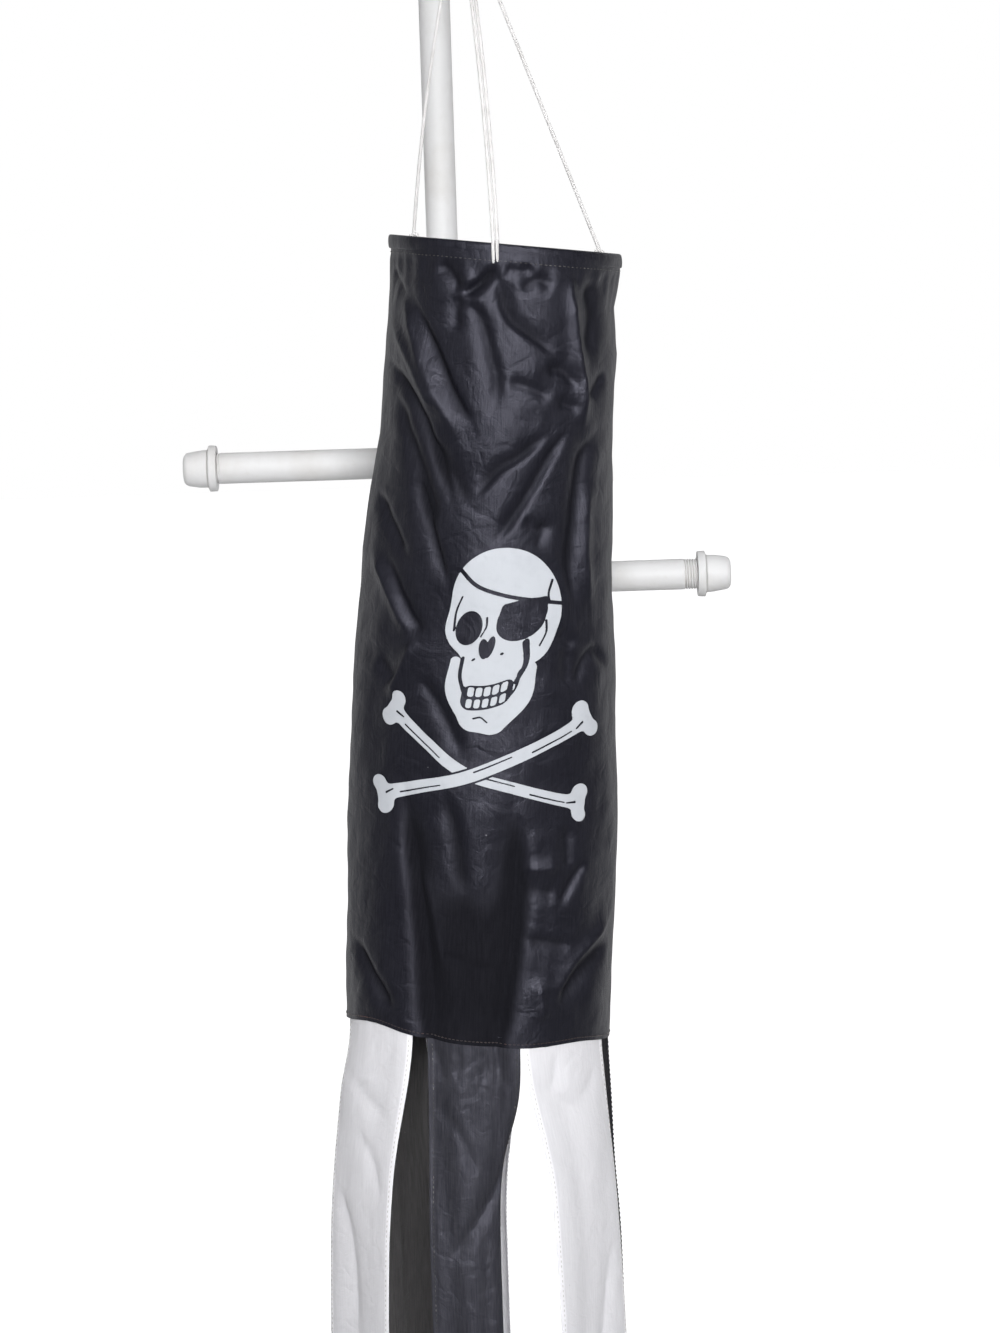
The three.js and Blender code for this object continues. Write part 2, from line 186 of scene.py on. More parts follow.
def turnTo(axis):
    # the 3x3 turn that takes +Z to the axis
    return np.array(Vector((0, 0, 1)).rotation_difference(Vector(axis)).to_matrix())


def roundCorners(corners, radius, steps=5):
    # each inner corner becomes a short quadratic curve between the points a radius before and after it
    corners = [np.array(c, float) for c in corners]
    t = np.linspace(0, 1, steps)[:, None]
    parts = [corners[0][None]]
    for before, here, after in zip(corners, corners[1:], corners[2:]):
        cutA = min(radius, np.linalg.norm(before - here) * 0.45)
        cutB = min(radius, np.linalg.norm(after - here) * 0.45)
        a, b = here + unit(before - here) * cutA, here + unit(after - here) * cutB
        parts.append(a * (1 - t) ** 2 + here * 2 * t * (1 - t) + b * t * t)
    parts.append(corners[-1][None])
    return np.concatenate(parts)


def latheMesh(profile, sides=96, loop=False, ripple=None):
    # points (r cos t, r sin t, z) for each profile point and turn; a loop profile closes on itself,
    # any other starts and ends on the axis, where a fan of triangles closes it
    profile = np.asarray(profile, float)
    turn = np.linspace(0, 2 * np.pi, sides, endpoint=False)
    if loop:
        rows, ends = profile, []
    else:
        rows, ends = profile[1:-1], [profile[0], profile[-1]]
    radius = np.repeat(rows[:, :1], sides, 1)
    if ripple is not None:
        radius = radius + ripple(rows[:, :1], rows[:, 1:], turn[None])
    height = np.repeat(rows[:, 1:], sides, 1)
    points = np.stack([radius * np.cos(turn), radius * np.sin(turn), height], -1).reshape(-1, 3)
    quads, _ = gridFaces(len(rows), sides, wrapColumns=True, wrapRows=loop)
    tris = np.zeros((0, 3), int)
    if ends:
        tris = endFans(sides, (len(rows) - 1) * sides, len(points), len(points) + 1)
        points = np.concatenate([points, [[0, 0, ends[0][1]], [0, 0, ends[1][1]]]])
    return points, quads, tris


def turnedPiece(name, profile, origin=(0, 0, 0), axis=(0, 0, 1), sides=96, loop=False, ripple=None,
                masks=None):
    points, quads, tris = latheMesh(profile, sides, loop, ripple)
    shown = None if masks is None else masks(points)
    return newPiece(name, points @ turnTo(axis).T + np.array(origin), quads, tris, masks=shown)


def sweptMesh(path, radius, sides=16, across=(0, 1, 0), closed=False, ripple=None):
    # path point + radius (cos a * side + sin a * up), side being the given direction made square to
    # the path; open ends are closed by a fan
    path = np.asarray(path, float)
    if closed:
        tangent = unit(np.roll(path, -1, 0) - np.roll(path, 1, 0))
    else:
        tangent = unit(np.gradient(path, axis=0))
    along = np.concatenate([[0], np.cumsum(np.linalg.norm(np.diff(path, axis=0), axis=1))])
    side = unit(np.cross(np.asarray(across, float)[None], tangent))
    up = np.cross(tangent, side)
    angle = np.linspace(0, 2 * np.pi, sides, endpoint=False)
    r = np.broadcast_to(np.asarray(radius, float).reshape(-1, 1), (len(path), sides))
    if ripple is not None:
        r = r * ripple(along[:, None], angle[None])
    points = path[:, None] + r[..., None] * (
        np.cos(angle)[None, :, None] * side[:, None] + np.sin(angle)[None, :, None] * up[:, None]
    )
    points = points.reshape(-1, 3)
    quads, corner = gridFaces(len(path), sides, wrapColumns=True, wrapRows=closed)
    uv = np.stack([corner[..., 0] / sides, corner[..., 1] / len(path) * along[-1] * 100], -1)
    tris = np.zeros((0, 3), int)
    if not closed:
        tris = endFans(sides, (len(path) - 1) * sides, len(points), len(points) + 1)
        points = np.concatenate([points, path[:1], path[-1:]])
    return points, quads, tris, uv


def sweptPiece(name, path, radius, **more):
    points, quads, tris, uv = sweptMesh(path, radius, **more)
    return newPiece(name, points, quads, tris, uv)


def alongCurve(knots, count):
    # Catmull-Rom: each stretch between two knots is the cubic that their neighbours give
    knots = np.asarray(knots, float)
    k = np.concatenate([[2 * knots[0] - knots[1]], knots, [2 * knots[-1] - knots[-2]]])
    t = np.linspace(0, len(knots) - 1 - 1e-9, count)
    i = t.astype(int)
    f = (t - i)[:, None]
    a, b, c, d = k[i], k[i + 1], k[i + 2], k[i + 3]
    square, cube = 2 * a - 5 * b + 4 * c - d, 3 * b - a - 3 * c + d
    return 0.5 * (2 * b + (c - a) * f + square * f**2 + cube * f**3)


def circlePath(centre, radius, first, second, count=64, start=0.0, end=2 * math.pi):
    # centre + radius (cos t * first + sin t * second)
    t = np.linspace(start, end, count, endpoint=abs(end - start) < 6.28)[:, None]
    return np.array(centre) + radius * (np.cos(t) * np.array(first) + np.sin(t) * np.array(second))


def cutAway(piece, cutters):
    for cutter in cutters:
        tool = newPiece("cutter", *cutter[:3])
        cut = piece.modifiers.new("cut", "BOOLEAN")
        cut.operation = "DIFFERENCE"
        cut.object = tool
        settle(piece)
        bpy.data.objects.remove(tool)


def smoothUpTo(piece, degrees):
    # smooth shading, sharp where faces meet at more than the angle
    piece.data.polygons.foreach_set("use_smooth", np.ones(len(piece.data.polygons), bool))
    piece.data.set_sharp_from_angle(angle=math.radians(degrees))


def castPiece(name, solids, cutters, voxel, smoothing=4):
    # closed solids melted into one by a voxel remesh, smoothed, then cut by closed cutters
    parts = [newPiece(name + "_part", *solid[:3]) for solid in solids]
    with bpy.context.temp_override(active_object=parts[0], selected_editable_objects=parts):
        if len(parts) > 1:
            bpy.ops.object.join()
    piece = parts[0]
    piece.name = name
    remesh = piece.modifiers.new("melt", "REMESH")
    remesh.mode = "VOXEL"
    remesh.voxel_size = voxel
    soften = piece.modifiers.new("soften", "SMOOTH")
    soften.factor = 0.5
    soften.iterations = smoothing
    settle(piece)
    cutAway(piece, cutters)
    smoothUpTo(piece, 50)
    return piece


def moved(solid, origin=(0, 0, 0), axis=(0, 0, 1)):
    points = solid[0] @ turnTo(axis).T + np.array(origin)
    return (points, *solid[1:3])


# ---- shader node groups ----
def feed(tree, node, inputs):
    # each input is linked to a socket or set to a value
    for key, value in inputs.items():
        if isinstance(value, bpy.types.NodeSocket):
            tree.links.new(value, node.inputs[key])
        else:
            node.inputs[key].default_value = value


def addNode(tree, kind, inputs=None, **settings):
    node = tree.nodes.new(kind)
    for key, value in settings.items():
        setattr(node, key, value)
    feed(tree, node, inputs or {})
    return node


def maths(tree, operation, *values, **settings):
    node = addNode(tree, "ShaderNodeMath", dict(enumerate(values)), operation=operation, **settings)
    return node.outputs[0]


def newGroup(name, inputs, outputs):
    group = bpy.data.node_groups.new(name, "ShaderNodeTree")
    for label, kind, value in inputs:
        socket = group.interface.new_socket(label, in_out="INPUT", socket_type="NodeSocket" + kind)
        if value is not None:
            socket.default_value = value
    for label, kind in outputs:
        group.interface.new_socket(label, in_out="OUTPUT", socket_type="NodeSocket" + kind)
    return group, group.nodes.new("NodeGroupInput").outputs, group.nodes.new("NodeGroupOutput").inputs


def blotchGroup():
    # soft blotches: two octaves of noise between a low and a high threshold
    group, given, out = newGroup(
        "blotches",
        [("Vector", "Vector", None), ("Scale", "Float", 20.0), ("Low", "Float", 0.4), ("High", "Float", 0.7)],
        [("Mask", "Float")],
    )
    noise = addNode(group, "ShaderNodeTexNoise",
                    {"Vector": given["Vector"], "Scale": given["Scale"], "Detail": 5.0, "Roughness": 0.6})
    span = addNode(group, "ShaderNodeMapRange",
                   {"Value": noise.outputs["Fac"], "From Min": given["Low"], "From Max": given["High"]})
    group.links.new(span.outputs["Result"], out["Mask"])
    return group


def grainGroup():
    # fine height of paint or metal: coarse ripples and fine grain added together
    group, given, out = newGroup(
        "grain", [("Vector", "Vector", None), ("Coarse", "Float", 250.0), ("Fine", "Float", 1500.0)],
        [("Height", "Float")],
    )
    coarse = addNode(group, "ShaderNodeTexNoise",
                     {"Vector": given["Vector"], "Scale": given["Coarse"], "Detail": 2.0})
    fine = addNode(group, "ShaderNodeTexNoise",
                   {"Vector": given["Vector"], "Scale": given["Fine"], "Detail": 3.0})
    share = maths(group, "MULTIPLY", fine.outputs["Fac"], 0.35)
    group.links.new(maths(group, "ADD", coarse.outputs["Fac"], share), out["Height"])
    return group


def weaveGroup():
    # threads on a map in millimetres: long streaks down the cloth, shorter ones across it, and the
    # product of two sine waves for the crossings
    group, given, out = newGroup(
        "weave", [("Map", "Vector", None), ("Thread", "Float", 0.45)],
        [("Height", "Float"), ("Streak", "Float"), ("Cross", "Float")],
    )
    down = addNode(group, "ShaderNodeMapping", {"Vector": given["Map"], "Scale": (0.9, 0.05, 1.0)})
    streak = addNode(group, "ShaderNodeTexNoise", {"Vector": down.outputs[0], "Scale": 1.0, "Detail": 3.0,
                                                   "Roughness": 0.7})
    over = addNode(group, "ShaderNodeMapping", {"Vector": given["Map"], "Scale": (0.04, 0.9, 1.0)})
    cross = addNode(group, "ShaderNodeTexNoise", {"Vector": over.outputs[0], "Scale": 1.0, "Detail": 3.0,
                                                  "Roughness": 0.7})
    parts = addNode(group, "ShaderNodeSeparateXYZ", {0: given["Map"]})
    waves = []
    for axis in "XY":
        threads = maths(group, "DIVIDE", parts.outputs[axis], given["Thread"])
        waves.append(maths(group, "SINE", maths(group, "MULTIPLY", threads, math.pi)))
    knots = maths(group, "MULTIPLY", maths(group, "MULTIPLY", *waves), 0.25)
    group.links.new(maths(group, "ADD", knots, streak.outputs["Fac"]), out["Height"])
    group.links.new(streak.outputs["Fac"], out["Streak"])
    group.links.new(cross.outputs["Fac"], out["Cross"])
    return group


def fleckGroup():
    # rare flecks of lint: cells of a Voronoi pattern whose own random value is high, near their centre
    group, given, out = newGroup(
        "flecks", [("Vector", "Vector", None), ("Scale", "Float", 60.0), ("Rarity", "Float", 0.97)],
        [("Mask", "Float")],
    )
    cells = addNode(group, "ShaderNodeTexVoronoi", {"Vector": given["Vector"], "Scale": given["Scale"]})
    near = maths(group, "LESS_THAN", cells.outputs["Distance"], 0.055)
    colour = addNode(group, "ShaderNodeSeparateColor", {0: cells.outputs["Color"]})
    chosen = maths(group, "GREATER_THAN", colour.outputs[0], given["Rarity"])
    group.links.new(maths(group, "MULTIPLY", near, chosen), out["Mask"])
    return group


def crumpleGroup():
    # small creases on a map in millimetres: the distance to the edges of wavy Voronoi cells, kept
    # near the edges only, and a soft noise
    group, given, out = newGroup("crumple", [("Map", "Vector", None), ("Scale", "Float", 0.06)],
                                 [("Height", "Float")])
    warp = addNode(group, "ShaderNodeTexNoise", {"Vector": given["Map"], "Scale": 0.05, "Detail": 2.0})
    push = addNode(group, "ShaderNodeVectorMath", {0: warp.outputs["Color"], 1: (26.0, 26.0, 0.0)},
                   operation="MULTIPLY")
    warped = addNode(group, "ShaderNodeVectorMath", {0: given["Map"], 1: push.outputs[0]}, operation="ADD")
    cells = addNode(group, "ShaderNodeTexVoronoi", {"Vector": warped.outputs[0], "Scale": given["Scale"]},
                    feature="DISTANCE_TO_EDGE")
    edge = maths(group, "MINIMUM", cells.outputs["Distance"], 0.16)
    soft = addNode(group, "ShaderNodeTexNoise", {"Vector": warped.outputs[0], "Scale": 0.09, "Detail": 4.0})
    share = maths(group, "MULTIPLY", soft.outputs["Fac"], 0.9)
    group.links.new(maths(group, "ADD", edge, share), out["Height"])
    return group


blotches, grain, weave, flecks = blotchGroup(), grainGroup(), weaveGroup(), fleckGroup()
crumple = crumpleGroup()


# ---- materials ----
def newMaterial(name, **sockets):
    material = bpy.data.materials.new(name)
    material.use_nodes = True
    tree = material.node_tree
    shader = tree.nodes["Principled BSDF"]
    for key, value in sockets.items():
        shader.inputs[key.replace("_", " ")].default_value = value
    place = tree.nodes.new("ShaderNodeTexCoord").outputs
    return material, tree, shader, place


def useGroup(tree, group, **inputs):
    node = tree.nodes.new("ShaderNodeGroup")
    node.node_tree = group
    feed(tree, node, inputs)
    return node.outputs


def mixed(tree, share, a, b):
    # a colour between a and b
    node = tree.nodes.new("ShaderNodeMix")
    node.data_type = "RGBA"
    feed(tree, node, {0: share, 6: a, 7: b})
    return node.outputs[2]


def ranged(tree, value, low, high, toLow, toHigh):
    node = addNode(tree, "ShaderNodeMapRange", {"Value": value, "From Min": low, "From Max": high,
                                                "To Min": toLow, "To Max": toHigh})
    return node.outputs["Result"]


def bumped(tree, shader, height, strength, distance):
    bump = addNode(tree, "ShaderNodeBump", {"Height": height, "Strength": strength, "Distance": distance})
    tree.links.new(bump.outputs[0], shader.inputs["Normal"])


def wrinkled(tree, shader, place, cloth, crease, strength, distance):
    # small creases, and the threads over them
    creases = useGroup(tree, crumple, Map=place["UV"], Scale=0.055)["Height"]
    broad = addNode(tree, "ShaderNodeBump", {"Height": creases, "Strength": crease, "Distance": 0.0022})
    fine = addNode(tree, "ShaderNodeBump", {"Height": cloth["Height"], "Strength": strength,
                                            "Distance": distance, "Normal": broad.outputs[0]})
    tree.links.new(fine.outputs[0], shader.inputs["Normal"])


def attribute(tree, label):
    return addNode(tree, "ShaderNodeAttribute", attribute_name=label).outputs["Fac"]


def whitePaintMaterial():
    material, tree, shader, place = newMaterial("whitePaint", Specular_IOR_Level=0.22)
    dirt = useGroup(tree, blotches, Vector=place["Object"], Scale=26.0, Low=0.45, High=0.8)["Mask"]
    scuffs = useGroup(tree, blotches, Vector=place["Object"], Scale=140.0, Low=0.62, High=0.74)["Mask"]
    base = mixed(tree, dirt, (0.63, 0.63, 0.636, 1), (0.55, 0.54, 0.53, 1))
    scuffed = mixed(tree, ranged(tree, scuffs, 0, 1, 0, 0.35), base, (0.55, 0.54, 0.52, 1))
    grimy = mixed(tree, attribute(tree, "grime"), scuffed, (0.16, 0.125, 0.09, 1))
    tree.links.new(grimy, shader.inputs["Base Color"])
    tree.links.new(ranged(tree, dirt, 0, 1, 0.5, 0.66), shader.inputs["Roughness"])
    height = useGroup(tree, grain, Vector=place["Object"], Coarse=230.0, Fine=1400.0)["Height"]
    bumped(tree, shader, height, 0.35, 0.0004)
    return material


def metalMaterial(name, light, dark, roughness):
    material, tree, shader, place = newMaterial(name, Metallic=1.0)
    tarnish = useGroup(tree, blotches, Vector=place["Object"], Scale=180.0, Low=0.4, High=0.7)["Mask"]
    tree.links.new(mixed(tree, tarnish, light, dark), shader.inputs["Base Color"])
    tree.links.new(ranged(tree, tarnish, 0, 1, roughness, roughness + 0.22), shader.inputs["Roughness"])
    height = useGroup(tree, grain, Vector=place["Object"], Coarse=500.0, Fine=3000.0)["Height"]
    bumped(tree, shader, height, 0.2, 0.0002)
    return material


def cordMaterial():
    material, tree, shader, place = newMaterial("whiteCord", Roughness=0.85, Sheen_Weight=0.1)
    soil = useGroup(tree, blotches, Vector=place["Object"], Scale=90.0, Low=0.45, High=0.8)["Mask"]
    colour = mixed(tree, soil, (0.66, 0.65, 0.65, 1), (0.5, 0.49, 0.48, 1))
    tree.links.new(colour, shader.inputs["Base Color"])
    height = useGroup(tree, grain, Vector=place["Object"], Coarse=2200.0, Fine=6000.0)["Height"]
    bumped(tree, shader, height, 0.5, 0.0003)
    return material


def nylonMaterial(name, threadDark, threadLight, lint, crease, **sockets):
    # woven nylon on its own map in millimetres, with painted shade darkening its crease valleys
    material, tree, shader, place = newMaterial(name, **sockets)
    cloth = useGroup(tree, weave, Map=place["UV"], Thread=0.45)
    base = mixed(tree, ranged(tree, cloth["Streak"], 0.35, 0.68, 0, 1), threadDark, threadLight)
    middleTone = tuple(0.5 * a + 0.5 * b for a, b in zip(threadDark, threadLight))
    woven = mixed(tree, ranged(tree, cloth["Cross"], 0.45, 0.7, 0, 0.5), base, middleTone)
    creaseShade = attribute(tree, "creaseShade")
    # painted shade: in crease valleys the colour goes most of the way to a third of the dark thread colour
    shaded = mixed(tree, ranged(tree, creaseShade, 0, 1, 0, 0.9), woven, tuple(0.3 * c for c in threadDark))
    band = mixed(tree, attribute(tree, "double"), shaded, tuple(min(1, 1.22 * c) for c in threadLight))
    speck = useGroup(tree, flecks, Vector=place["Object"], Scale=110.0, Rarity=0.975)["Mask"]
    fluff = mixed(tree, ranged(tree, speck, 0, 1, 0, 0.55), band, lint)
    tree.links.new(fluff, shader.inputs["Base Color"])
    glancing = addNode(tree, "ShaderNodeLayerWeight", {"Blend": 0.5}).outputs["Facing"]
    dull = maths(tree, "ADD", ranged(tree, glancing, 0.5, 1.0, 0, 0.2), ranged(tree, creaseShade, 0, 1, 0, 0.5))
    rough = maths(tree, "ADD", ranged(tree, cloth["Streak"], 0.3, 0.7, 0.47, 0.33), dull, use_clamp=True)
    tree.links.new(rough, shader.inputs["Roughness"])
    wrinkled(tree, shader, place, cloth, crease, 0.5, 0.0003)
    return material


def inkMaterial():
    material, tree, shader, place = newMaterial("printInk", Specular_IOR_Level=0.16)
    cloth = useGroup(tree, weave, Map=place["UV"], Thread=0.45)
    thin = useGroup(tree, blotches, Vector=place["Object"], Scale=120.0, Low=0.5, High=0.8)["Mask"]
    base = mixed(tree, ranged(tree, thin, 0, 1, 0, 0.6), (0.46, 0.48, 0.515, 1), (0.4, 0.415, 0.45, 1))
    tree.links.new(base, shader.inputs["Base Color"])
    tree.links.new(ranged(tree, thin, 0, 1, 0.5, 0.65), shader.inputs["Roughness"])
    wrinkled(tree, shader, place, cloth, 0.07, 0.25, 0.0002)
    return material


def threadMaterial(name, light, dark):
    material, tree, shader, place = newMaterial(name, Roughness=0.7, Sheen_Weight=0.2)
    shade = useGroup(tree, blotches, Vector=place["Object"], Scale=70.0, Low=0.34, High=0.44)["Mask"]
    tree.links.new(mixed(tree, shade, light, dark), shader.inputs["Base Color"])
    height = useGroup(tree, grain, Vector=place["Object"], Coarse=3000.0, Fine=9000.0)["Height"]
    bumped(tree, shader, height, 0.4, 0.0002)
    return material


whitePaint = whitePaintMaterial()
zinc = metalMaterial("zincPlate", (0.62, 0.63, 0.65, 1), (0.45, 0.46, 0.47, 1), 0.28)
springSteel = metalMaterial("springSteel", (0.42, 0.43, 0.45, 1), (0.28, 0.28, 0.29, 1), 0.3)
whiteCord = cordMaterial()
lint = (0.3, 0.3, 0.32, 1)
blackNylon = nylonMaterial("blackNylon", (0.002, 0.002, 0.0045, 1), (0.01, 0.01, 0.0145, 1), lint, 0.34,
                           Specular_IOR_Level=0.37, Specular_Tint=(0.82, 0.82, 1.0, 1))
# painted light: a lighter copy of the black nylon for the front tail, standing in for the light it catches
litFrontNylon = nylonMaterial("litFrontNylon", (0.015, 0.015, 0.02, 1), (0.04, 0.04, 0.048, 1), lint, 0.4,
                           Specular_IOR_Level=0.44, Specular_Tint=(0.82, 0.82, 1.0, 1))
# painted light: a grey copy of the black nylon for the back left tail, lighter to stand in for light on a
# tail that hangs mostly in shadow
paintedLightNylon = nylonMaterial("paintedLightNylon", (0.05, 0.048, 0.0485, 1), (0.085, 0.082, 0.083, 1), lint, 0.32,
                           Specular_IOR_Level=0.3)
whiteNylon = nylonMaterial("whiteNylon", (0.65, 0.645, 0.675, 1), (0.71, 0.705, 0.735, 1),
                           (0.45, 0.45, 0.47, 1), 0.4, Specular_IOR_Level=0.4)
printInk = inkMaterial()
whiteThread = threadMaterial("whiteThread", (0.75, 0.74, 0.72, 1), (0.5, 0.49, 0.47, 1))
greyThread = threadMaterial("greyThread", (0.2, 0.19, 0.18, 1), (0.03, 0.029, 0.028, 1))
darkThread = threadMaterial("darkThread", (0.09, 0.035, 0.03, 1), (0.03, 0.018, 0.018, 1))
print("materials made")


# ---- camera ----
cameraSet = dict(place=(0.0306, -2.284, 1.1661), pitch=7.28, roll=-1.84, lens=88.2)


def makeCamera():
    # looks along +Y, pitched down, then rolled: right = cos(roll) X + sin(roll) up
    pitch, roll = math.radians(cameraSet["pitch"]), math.radians(cameraSet["roll"])
    forward = Vector((0, math.cos(pitch), -math.sin(pitch)))
    level = Vector((0, math.sin(pitch), math.cos(pitch)))
    right = Vector((math.cos(roll), 0, 0)) + math.sin(roll) * level
    up = Vector((-math.sin(roll), 0, 0)) + math.cos(roll) * level
    data = bpy.data.cameras.new("camera")
    data.lens = cameraSet["lens"]
    data.sensor_width = 36
    data.clip_end = 50
    camera = bpy.data.objects.new("camera", data)
    turn = Matrix((right, up, -forward)).transposed().to_4x4()
    camera.matrix_world = Matrix.Translation(cameraSet["place"]) @ turn
    scene.collection.objects.link(camera)
    scene.camera = camera


makeCamera()


# ---- bridle cords ----
hoopSet = dict(radius=0.0736, tilt=6.7)
sleeveSet = dict(outer=0.0762, inner=0.071, up=0.0045, down=0.005, wall=0.0008)
cordRadius = 0.00115
bridleRingRadius, bridleRingWire = 0.0085, 0.00125
bridleSet = [
    dict(name="bridle_cord_left", bearing=-125, step=0, top=(-0.0016, 0.0014), bow=(-0.004, 0.002)),
    dict(name="bridle_cord_right", bearing=121, step=0, top=(0.0016, 0.0014), bow=(0, 0.001)),
    dict(name="bridle_cord_front_a", bearing=-5, step=-0.0014, top=(-0.0014, -0.0014), bow=(0.0025, 0)),
    dict(name="bridle_cord_front_b", bearing=-5, step=0.0014, top=(0.0014, -0.0014), bow=(0.0025, 0)),
]


def onHoop(bearing, radius, lift):
    # a point at a bearing in degrees from the front and a radius on the tilted hoop, lifted off its plane
    turn = np.radians(bearing)
    away = radius * np.sin(turn)
    fall = math.tan(math.radians(hoopSet["tilt"])) * away
    y = hang[1] - radius * np.cos(turn)
    z = hoopCentre[2] - fall + lift
    return np.stack(np.broadcast_arrays(hoopCentre[0] + away, y, z), -1)


def laid(along, angle):
    # three twisted strands: the radius dips where two strands meet
    return 0.93 + 0.1 * np.abs(np.cos(1.5 * (angle - along * 1900)))


def bridleCords():
    cords = []
    for one in bridleSet:
        lift = sleeveSet["up"] + gap + 0.0004
        foot = onHoop(one["bearing"], hoopSet["radius"], lift) + [one["step"], 0, 0]
        top = np.array([hang[0] + one["top"][0], hang[1] + one["top"][1], apexHeight])
        t = np.linspace(0, 1, 33)[:, None]
        path = foot + (top - foot) * t + np.array([*one["bow"], 0]) * 4 * t * (1 - t)
        fine = alongCurve(path, 700)
        cord = sweptPiece(one["name"] + "_rope", fine, cordRadius, sides=14, ripple=laid)
        finishPiece(cord, whiteCord, "sock", [one["name"]])
        cords.append(cord)
    return cords


bridleCords()
print("cords made")


# ---- cloth of the sock ----
sockSet = dict(around=0.479, topHalf=0.0746, half=0.0876, bottomX=0.0081, drop=0.516, start=0.0055,
               tucked=0.0045, tilt=6.0, columns=264, rows=288, foldScale=1.2, frames=16, furthest=0.006)
clothStart = sockSet["start"] - sockSet["tucked"]
clothSpan = sockSet["drop"] - clothStart

# folds of the front: millimetres right of the front line and below the hoop, then half width,
# depth (inwards positive) and how far one side stands higher than the other
frontFolds = [
    ([(-104, 15), (-73, 36)], 5, 2.0, 1.0),
    ([(-66, 34), (-44, 70), (-32, 91), (-17, 112)], 5, 4.2, 2.2),
    ([(-80, 30), (-56, 76), (-26, 122)], 6, -3.2, 0),
    ([(-97, 46), (-69, 73), (-54, 92), (-42, 107)], 6, -2.8, 0),
    ([(-97, 74), (-62, 97), (-43, 128), (-26, 166)], 5, 4.0, 2.5),
    ([(-48, 118), (-29, 144), (-17, 163)], 7, 3.2, 0),
    ([(-83, 95), (-67, 120), (-46, 158), (-38, 180)], 7, 3.4, 1.0),
    ([(-7, 10), (-18, 22), (-29, 30)], 4, 4.6, -1.5),
    ([(-29, 30), (-36, 18), (-47, 11)], 5, 3.0, 0),
    ([(-29, 30), (-15, 44), (-7, 68), (-3, 82), (-4, 104)], 5, 2.9, 1.0),
    ([(-29, 30), (-33, 41), (-30, 53)], 5, 2.4, 0),
    ([(-5, 12), (-2, 31), (5, 43), (19, 52), (41, 66)], 6, 3.6, -2.0),
    ([(-22, 14), (-24, 26), (-12, 36)], 7, -1.8, 0),
    ([(-1, 11), (9, 11), (20, 8)], 4, 1.8, 0),
    ([(10, 25), (21, 16), (33, 20)], 4.5, 2.4, 1.0),
    ([(44, 8), (47, 34), (52, 62), (57, 85), (59, 112)], 4.5, -4.2, 0),
    ([(60, 12), (68, 35), (62, 68)], 9, 4.4, 0),
    ([(29, 73), (41, 72), (54, 83)], 4.5, 3.2, 0),
    ([(38, 92), (55, 96)], 4, 2.0, 0),
    ([(80, 72), (62, 90)], 4, 2.6, 0),
    ([(-14, 157), (-1, 139), (14, 128), (33, 112)], 5, 3.6, -2.2),
    ([(46, 109), (31, 132), (14, 162), (-4, 190)], 4.5, 3.2, 1.8),
    ([(3, 81), (20, 85), (35, 90)], 4.5, 2.0, 0),
    ([(71, 110), (60, 126), (56, 146), (53, 170), (50, 195), (54, 231)], 5.5, 4.4, 0),
    ([(66, 140), (62, 184), (67, 228)], 5, -2.4, 0),
    ([(-97, 160), (-78, 180), (-59, 200)], 5, 3.0, 1.5),
    ([(-95, 198), (-71, 226), (-51, 253)], 5, -3.0, 0),
    ([(-80, 200), (-58, 232), (-42, 249)], 5, 3.2, 1.0),
    ([(-58, 145), (-43, 177), (-27, 217)], 4.5, 3.8, 2.2),
    ([(-47, 251), (-57, 272), (-68, 295)], 5, -2.6, 0),
    ([(-80, 268), (-63, 282)], 7, 2.8, 0),
    ([(-46, 275), (-34, 288), (-22, 309), (-15, 325)], 5, 2.6, 1.0),
    ([(17, 166), (24, 174), (34, 169)], 3.5, 1.7, 0),
    ([(33, 169), (25, 187)], 3.5, 1.5, 0),
    ([(40, 240), (53, 249)], 4.5, 2.0, 0),
    ([(52, 277), (60, 259), (71, 251), (86, 263)], 5, 2.6, 1.2),
    ([(46, 250), (48, 276)], 5, 1.8, 0),
    ([(-52, 345), (-43, 400), (-35, 455), (-29, 515), (-25, 600)], 10, 8.0, -1.6),
    ([(-41, 392), (-29, 438), (-21, 474)], 6, -3.0, 0),
    ([(14, 348), (21, 400), (19, 455), (12, 515), (6, 600)], 10, 7.0, 2.0),
    ([(-12, 400), (-10, 440), (-8, 480), (-6, 520), (-4, 600)], 24, 5.0, 0),
    ([(-24, 350), (-16, 383), (-11, 418)], 5, 3.2, 0.8),
    ([(51, 366), (52, 397)], 4, 2.2, 0),
    ([(66, 390), (55, 405), (46, 423)], 4, 2.6, 1.6),
    ([(20, 397), (46, 394)], 4, -1.8, 0),
    ([(20, 407), (45, 413)], 6, 2.2, 0),
    ([(26, 442), (56, 448)], 5, 2.4, 1.0),
    ([(99, 428), (60, 458), (43, 488)], 5, -3.2, 0),
    ([(97, 448), (66, 467), (48, 490)], 7, 4.4, 0),
    ([(-96, 458), (-70, 486), (-53, 505)], 6, 4.0, 1.2),
    ([(-24, 458), (-10, 461)], 3.5, 1.6, 0.8),
    ([(-8, 463), (6, 465)], 3.5, 1.5, 0.8),
    ([(34, 470), (38, 500)], 5, -2.6, 0),
]
